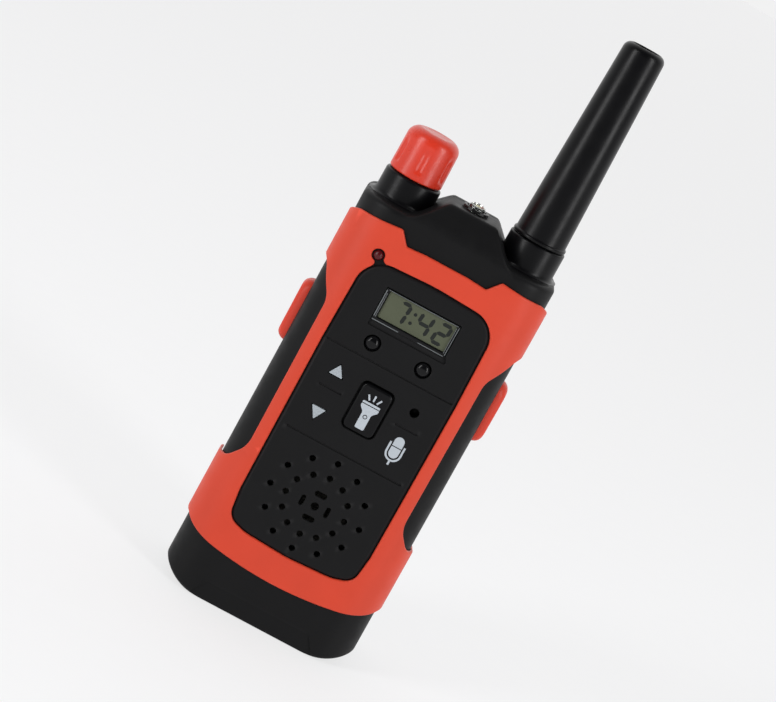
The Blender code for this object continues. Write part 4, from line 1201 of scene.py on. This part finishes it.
def make_microphone():
    """The microphone sign on the panel, and a dark disc behind the microphone's hole that stands in for the
    hole's shade.
    """
    x = 11.13
    half = 1.36
    outer, inner = 2.27, 1.75
    rise = 64.0
    upper = [(x + half, 63.22), *arc((x, 64.72), half, 0, 1), (x - half, 63.22)]
    lower = [(x - half, 62.97), *arc((x, 61.33), half, 1, 1), (x + half, 62.97)]
    bracket = [
        (x - outer, rise), *arc((x, 61.27), outer, 1, 1), (x + outer, rise),
        (x + inner, rise), *arc((x, 61.27), inner, 0, -1), (x - inner, rise),
    ]
    stem = [(x - 0.27, 57.9), (x + 0.27, 57.9), (x + 0.27, 59.1), (x - 0.27, 59.1)]
    stamp("microphone_sign", [upper, lower, bracket, stem], FACE - 0.02, FACE + 0.03, PRINT)
    # A dark disc behind the hole: painted shade inside the microphone's hole.
    hole_shade_disc = rounded([(0, 11.5, 0), (1.3, 11.5, 0), (1.3, 12.0, 0.1), (0, 12.15, 0)], 3)
    piece("microphone_hole_shade", turned_out(hole_shade_disc, MIC, 32), RUBBER)


# ---------------------------------------------------------------- top and sides

def make_power_led():
    """The red lamp's dome and the thin ring round it."""
    low, high = span("power_led")
    radius = 1.28
    rise = 1.1
    shoulder = -low.y - rise
    profile = [(0, -high.y), (radius, -high.y), (radius, shoulder)]
    profile += quarter_arc((0, shoulder), radius, rise, 10)
    piece("power_lamp", turned_out(profile, POWER_LED), RED, stands_for=["power_led"])
    inner, outer = radius + 0.06, radius + 0.33
    ring = rounded([(inner, 12.9, 0), (outer, 12.9, 0), (outer, 15.1, 0.1), (inner, 15.1, 0.1)], 3)
    piece("power_lamp_ring", turned_out(ring, POWER_LED), GLOSS)


def knob_flutes(angle, height, radius):
    """How far the knob's six flutes cut in at an angle and a height."""
    if radius < 4.0:
        return 0.0
    turn = math.tau / 6
    off = (angle + math.pi / 2 + turn / 2) % turn - turn / 2
    across = off * radius / 1.15
    if abs(across) >= 1:
        return 0.0
    start, end = KNOB_LOW.z + 1.9, KNOB_LOW.z + 9.6
    rise = min(max((height - start) / 1.2, 0.0), 1.0)
    fade = min(max((end - height) / 3.0, 0.0), 1.0)
    depth = 0.5 * math.sqrt(rise) * fade * fade * (3 - 2 * fade)
    return depth * (1 - across * across) ** 1.5


def make_knob():
    """The volume knob with six shallow flutes and a soft top edge, and the collar that it stands on."""
    low, high = KNOB_LOW.z, KNOB_HIGH.z
    radius = (KNOB_HIGH.x - KNOB_LOW.x) / 2
    profile = [(3.2, low), (radius - 0.3, low), (radius, low + 0.3)]
    sides = 44
    for step in range(1, sides + 1):
        rise = (high - 3.0 - low - 0.3) * step / sides
        profile.append((radius - 0.15 * step / sides, low + 0.3 + rise))
    profile += quarter_arc((radius - 3.15, high - 3.0), 3.0, 3.0, 14)
    profile += [(3.6, high - 0.02), (3.2, high - 0.1), (1.6, high - 0.12), (0, high - 0.12)]
    profile += [(0, high - 4.2), (3.2, high - 4.2)]
    shape = turned(profile, (KNOB_AT.x, 0, 0), "Z", 192, knob_flutes)
    piece("knob_cap", shape, KNOB, "knob", ["knob"])

    collar_low, collar_high = span("knob_collar")
    outer = (collar_high.x - collar_low.x) / 2 - 0.5
    profile = rounded([
        (KNOB_BORE, TOP - 0.6, 0), (outer + 1.5, TOP - 0.6, 0), (outer + 1.5, TOP + 0.05, 0.02),
        (outer, TOP + 0.12, 1.3), (outer - 0.1, collar_high.z, 0.7), (KNOB_BORE, collar_high.z, 0.3),
    ], 8)
    piece("knob_foot", turned(profile, (KNOB_AT.x, 0, 0)), GLOSS, stands_for=["knob_collar"])


def make_antenna():
    """The tapered stub antenna with its lip, dimpled tip and collar."""
    centre = (ANTENNA_AT.x, 0, 0)
    foot, tip = ANTENNA_FOOT, ANTENNA_TIP
    profile = rounded([
        (1.6, 112.6, 0), (4.5, 112.6, 0), (4.5, foot, 0), (7.5, foot, 0.25), (7.5, foot + 0.8, 0.35),
        (7.1, foot + 1.0, 0.5), (5.67, tip, 2.0), (4.0, tip, 0.25), (3.6, tip - 0.5, 0.3), (0, tip - 0.5, 0),
        (0, 172.0, 0), (1.6, 172.0, 0),
    ], 8)
    piece("antenna_stub", turned(profile, centre), GLOSS, stands_for=["antenna"])
    dimple = turned(rounded([(0, 0, 0), (0.7, 0, 0), (0.7, 0.35, 0.2), (0, 0.45, 0)], 4),
                    (ANTENNA_AT.x - 1.2, -0.6, tip - 0.6), "Z", 32)
    piece("antenna_gate_mark", dimple, BLACK)
    outer = 7.85
    profile = rounded([
        (ANTENNA_BORE, TOP - 0.6, 0), (outer + 1.4, TOP - 0.6, 0), (outer + 1.4, TOP + 0.05, 0.02),
        (outer, TOP + 0.12, 1.2), (outer - 0.05, foot - 0.3, 0.45), (ANTENNA_BORE, foot - 0.3, 0.1),
    ], 8)
    piece("antenna_foot", turned(profile, centre), GLOSS, stands_for=["antenna_collar"])


def make_torch():
    """The torch lamp's clear dome, with the reflector cup and the die inside."""
    low, high = span("torch_led")
    at = (TORCH_AT.x, TORCH_AT.y, 0)
    radius = (high.x - low.x) / 2
    crown = high.z
    rise = 1.7
    profile = [(0, low.z), (radius, low.z), (radius, crown - rise)]
    profile += quarter_arc((0, crown - rise), radius, rise, 12)
    piece("torch_dome", turned(profile, at, "Z", 64), CLEAR, stands_for=["torch_led"])
    foot = crown - 1.9
    cup = [(0, foot), (0.6, foot), (1.75, crown - 0.75), (1.95, crown - 0.9)]
    cup += [(1.95, foot - 1.0), (0, foot - 1.0)]
    piece("torch_cup", turned(cup, at, "Z", 40), SILVER)
    die = loft([rectangle_at(foot + z, half, at) for z, half in ((0.0, 0.55), (0.45, 0.55), (0.6, 0.4))])
    piece("torch_die", die, DIE)


def rectangle_at(z, half, at):
    """A level square ring of points about a centre."""
    return [(at[0] + x, at[1] + y, z) for x, y in rectangle((-half, -half), (half, half), half * 0.2, 3)]


def make_side_buttons():
    """The two push-to-talk pads, softly rounded, each with a flange inside the wall."""
    middle_z = (PTT_LOW.z + PTT_HIGH.z) / 2
    half_z = 9.0
    half_y = 4.2
    out = PTT_HIGH.x
    foot, flange, shoulder = 24.4, 25.4, 27.6
    levels = [(foot, half_y + 1.0, half_z + 1.0, 2.8), (flange, half_y + 1.0, half_z + 1.0, 2.8),
              (flange, half_y, half_z, 3.2), (shoulder, half_y, half_z, 3.2)]
    for step in range(1, 15):
        share = step / 14
        angle = math.pi / 2 * share
        drop = 1 - math.cos(angle)
        reach = shoulder + (out - shoulder) * math.sin(angle)
        levels.append((reach, half_y - 1.7 * drop, half_z - 2.3 * drop, 3.2 - 0.9 * drop))
    for side, name in ((-1, "ptt_left"), (1, "ptt_right")):
        rings = []
        for reach, wide, tall, corner in levels:
            outline = rectangle((-wide, -tall), (wide, tall), corner, 9)
            rings.append([(side * reach, y, z + middle_z) for y, z in outline])
        piece(f"{name}_pad", loft(rings), PAD, name, [name], 50)


# ---------------------------------------------------------------- back

def make_battery_door():
    """The sliding door: slightly crowned, with grip ribs and an arrow for the way it slides."""
    low, high = span("battery_door")
    outer = high.y
    outline = rectangle((low.x, low.z), (high.x, high.z), 1.2, 6)
    arrow = [(-3.2, 52.4), (0.0, 49.4), (3.2, 52.4), (1.9, 52.4), (0.0, 50.8), (-1.9, 52.4)]
    pockets = [(rounded([(*p, 0.1) for p in arrow], 2), 0.05, 0.35)]
    for i in range(6):
        z = 54.6 + 1.3 * i
        pockets.append((rectangle((-8.5, z - 0.35), (8.5, z + 0.35), 0.3, 4), 0.12, 0.5))
    shape = sheet(back_skin, outer, low.y, (outline, 0.5), pockets=pockets)
    piece("battery_cover", shape, PANEL, "battery_door", ["battery_door"])


def make_belt_clip():
    """The sprung belt clip: a blade with a hooked end, a ribbed thumb pad and a window for its spring."""
    barrel = 2.4
    profile = rounded([
        (16.0, 68.0, 0.6), (18.0, 67.6, 1.2), (22.3, 71.5, 3.0), (22.3, 98.0, 4.0),
        (PIN.y + barrel, PIN.z, 2.0),
        (22.6, 112.6, 0.9), (20.6, 112.8, 0.9), (PIN.y - barrel, 104.4, 1.0), (PIN.y - barrel, 101.4, 1.0),
        (20.6, 97.0, 1.5), (20.6, 72.6, 1.5), (18.4, 71.0, 1.2), (16.0, 70.2, 0.6),
    ], 7)
    half = span("belt_clip")[1].x
    edge = 0.55
    rings = []
    for step in range(6):
        angle = math.pi / 2 * step / 5
        inner = moved(profile, edge * (1 - math.sin(angle)))
        rings.append([(-half + edge * (1 - math.cos(angle)), y, z) for y, z in inner])
    rings.extend([[(-x, y, z) for x, y, z in ring] for ring in reversed(rings)])
    fine = new_object("clip_fine", loft(rings), 50)
    clip = new_object("belt_clip_blade", loft(rings))
    ribs = [box((-6.5, 21.9, 106.2 + 1.5 * i), (6.5, 24.0, 106.9 + 1.5 * i)) for i in range(4)]
    cut(clip, [
        ("DIFFERENCE", [rod((0, PIN.y, PIN.z), "X", 1.3, -20, 20)]),
        ("DIFFERENCE", [box((-3.8, 14, PIN.z - 2.8), (3.8, 26, PIN.z + 2.8))]),
        ("DIFFERENCE", ribs),
    ])
    follow(clip, fine)
    bpy.data.objects.remove(fine)
    settle(clip, BLACK, "belt_clip", ["belt_clip"])


def make_screws():
    """The four screws, with round heads and cross recesses, at the bottom of their bores."""
    for number, name in enumerate(SCREWS, 1):
        at = middle(name)
        profile = [(0, -5.5), (0.66, -5.0), (1.1, -4.0), (1.1, 9.6), (0, 9.6)]
        shank = turned(profile, (at.x, 0, at.z), "Y", 24)
        arm, width = 1.35, 0.32
        cross = [
            (arm, -width), (arm, width), (width, width), (width, arm), (-width, arm), (-width, width),
            (-arm, width), (-arm, -width), (-width, -width), (-width, -arm), (width, -arm), (width, -width),
        ]
        cross = [(x - at.x, z + at.z) for x, z in cross]
        rim = circle((-at.x, at.z), 2.2, 40)
        head = sheet(back_skin, 11.1, 9.6, (rim, 0.7), pockets=[(cross, 0.04, 0.8)])
        piece(f"screw_head_{number}", head, METAL, stands_for=[name])
        piece(f"screw_shank_{number}", shank, METAL)


# ---------------------------------------------------------------- stage, light and camera

BACKDROP = 0.888
FLOOR_GLOW = 0.7
ROOM_FRONT = 0.08
ROOM_BACK = 1.15
SOFT_BOX_AZIMUTH = 52.0
SOFT_BOX_HEIGHT = 330.0
SOFT_BOX_DISTANCE = 900.0
SOFT_BOX_SIZE = (230.0, 900.0)
SOFT_BOX_POWER = 6.0
AIM_HEIGHT = 90.0


def make_stage():
    """A wide pale floor with a faint glow of its own, as on a light table."""
    material = surface("stage_pale", "868688", 0.9, 0.05, mottling=0.01, patchiness=0.02)
    shader = material.node_tree.nodes["Principled BSDF"]
    shader.inputs["Emission Color"].default_value = (1.0, 1.0, 1.0, 1.0)
    shader.inputs["Emission Strength"].default_value = FLOOR_GLOW
    radius = 30000.0
    profile = [(0.0, 0.0), (400.0, 0.0), (2000.0, 0.0), (radius, 0.0), (radius, -20.0), (0.0, -20.0)]
    stage = new_object("stage_floor", turned(profile, (0, 0, 0), "Z", 96), 40)
    stage.data.materials.append(material)


def soft_box(name, azimuth):
    """A soft rectangular light, placed by its bearing from the front and aimed at the object's middle."""
    data = bpy.data.lights.new(name, "AREA")
    data.shape = "RECTANGLE"
    data.size = SOFT_BOX_SIZE[0] * MM
    data.size_y = SOFT_BOX_SIZE[1] * MM
    data.energy = SOFT_BOX_POWER
    light = bpy.data.objects.new(name, data)
    angle = math.radians(azimuth)
    x, y = math.sin(angle) * SOFT_BOX_DISTANCE, -math.cos(angle) * SOFT_BOX_DISTANCE
    place = Vector((x, y, SOFT_BOX_HEIGHT))
    light.location = place * MM
    light.rotation_euler = (Vector((0, 0, AIM_HEIGHT)) - place).to_track_quat("-Z", "Y").to_euler()
    bpy.context.scene.collection.objects.link(light)


def make_lights():
    """Two tall soft boxes, left and right, in a pale studio that is dim on the side that the toy faces."""
    soft_box("soft_box_left", -SOFT_BOX_AZIMUTH)
    soft_box("soft_box_right", SOFT_BOX_AZIMUTH)
    world = bpy.data.worlds.new("studio")
    world.use_nodes = True
    nodes = world.node_tree.nodes
    links = world.node_tree.links
    direction = nodes.new("ShaderNodeSeparateXYZ")
    links.new(nodes.new("ShaderNodeTexCoord").outputs["Generated"], direction.inputs["Vector"])
    room = nodes.new("ShaderNodeMapRange")
    room.interpolation_type = "SMOOTHSTEP"
    room.inputs["From Min"].default_value = -0.5
    room.inputs["From Max"].default_value = 0.7
    room.inputs["To Min"].default_value = ROOM_FRONT
    room.inputs["To Max"].default_value = ROOM_BACK
    links.new(direction.outputs["Y"], room.inputs["Value"])
    seen = nodes.new("ShaderNodeMix")
    links.new(nodes.new("ShaderNodeLightPath").outputs["Is Camera Ray"], seen.inputs["Factor"])
    links.new(room.outputs["Result"], seen.inputs["A"])
    seen.inputs["B"].default_value = BACKDROP
    links.new(seen.outputs["Result"], nodes["Background"].inputs["Strength"])
    nodes["Background"].inputs["Color"].default_value = (1.0, 1.0, 1.0, 1.0)
    bpy.context.scene.world = world
    bpy.context.scene.view_settings.view_transform = "Standard"


def make_camera():
    """The camera: a little above, a little left, and rolled so that the toy leans right."""
    azimuth, elevation, roll = (math.radians(a) for a in (-2.32, 14.02, -28.90))
    distance = 525.75
    target = Vector((-2.24, 0.0, 80.75))
    flat = math.cos(elevation)
    back = Vector((math.sin(azimuth) * flat, -math.cos(azimuth) * flat, math.sin(elevation)))
    level = (-back).cross(UP).normalized()
    above = level.cross(-back)
    right = level * math.cos(roll) - above * math.sin(roll)
    up = level * math.sin(roll) + above * math.cos(roll)
    data = bpy.data.cameras.new("camera")
    data.sensor_width = 36.0
    data.lens = 92.78
    data.clip_start = 0.02
    data.clip_end = 20.0
    camera = bpy.data.objects.new("camera", data)
    turn = Matrix((right, up, back)).transposed().to_4x4()
    camera.matrix_world = Matrix.Translation((target + back * distance) * MM) @ turn
    bpy.context.scene.collection.objects.link(camera)
    bpy.context.scene.camera = camera


make_camera()
make_stage()
make_lights()
dress_carried_nodes()
make_housing()
make_seam_lip()
make_armour()
make_panel()
make_display()
make_clock_buttons()
make_torch_key()
make_arrow_keys()
make_microphone()
make_power_led()
make_knob()
make_antenna()
make_torch()
make_side_buttons()
make_battery_door()
make_belt_clip()
make_screws()
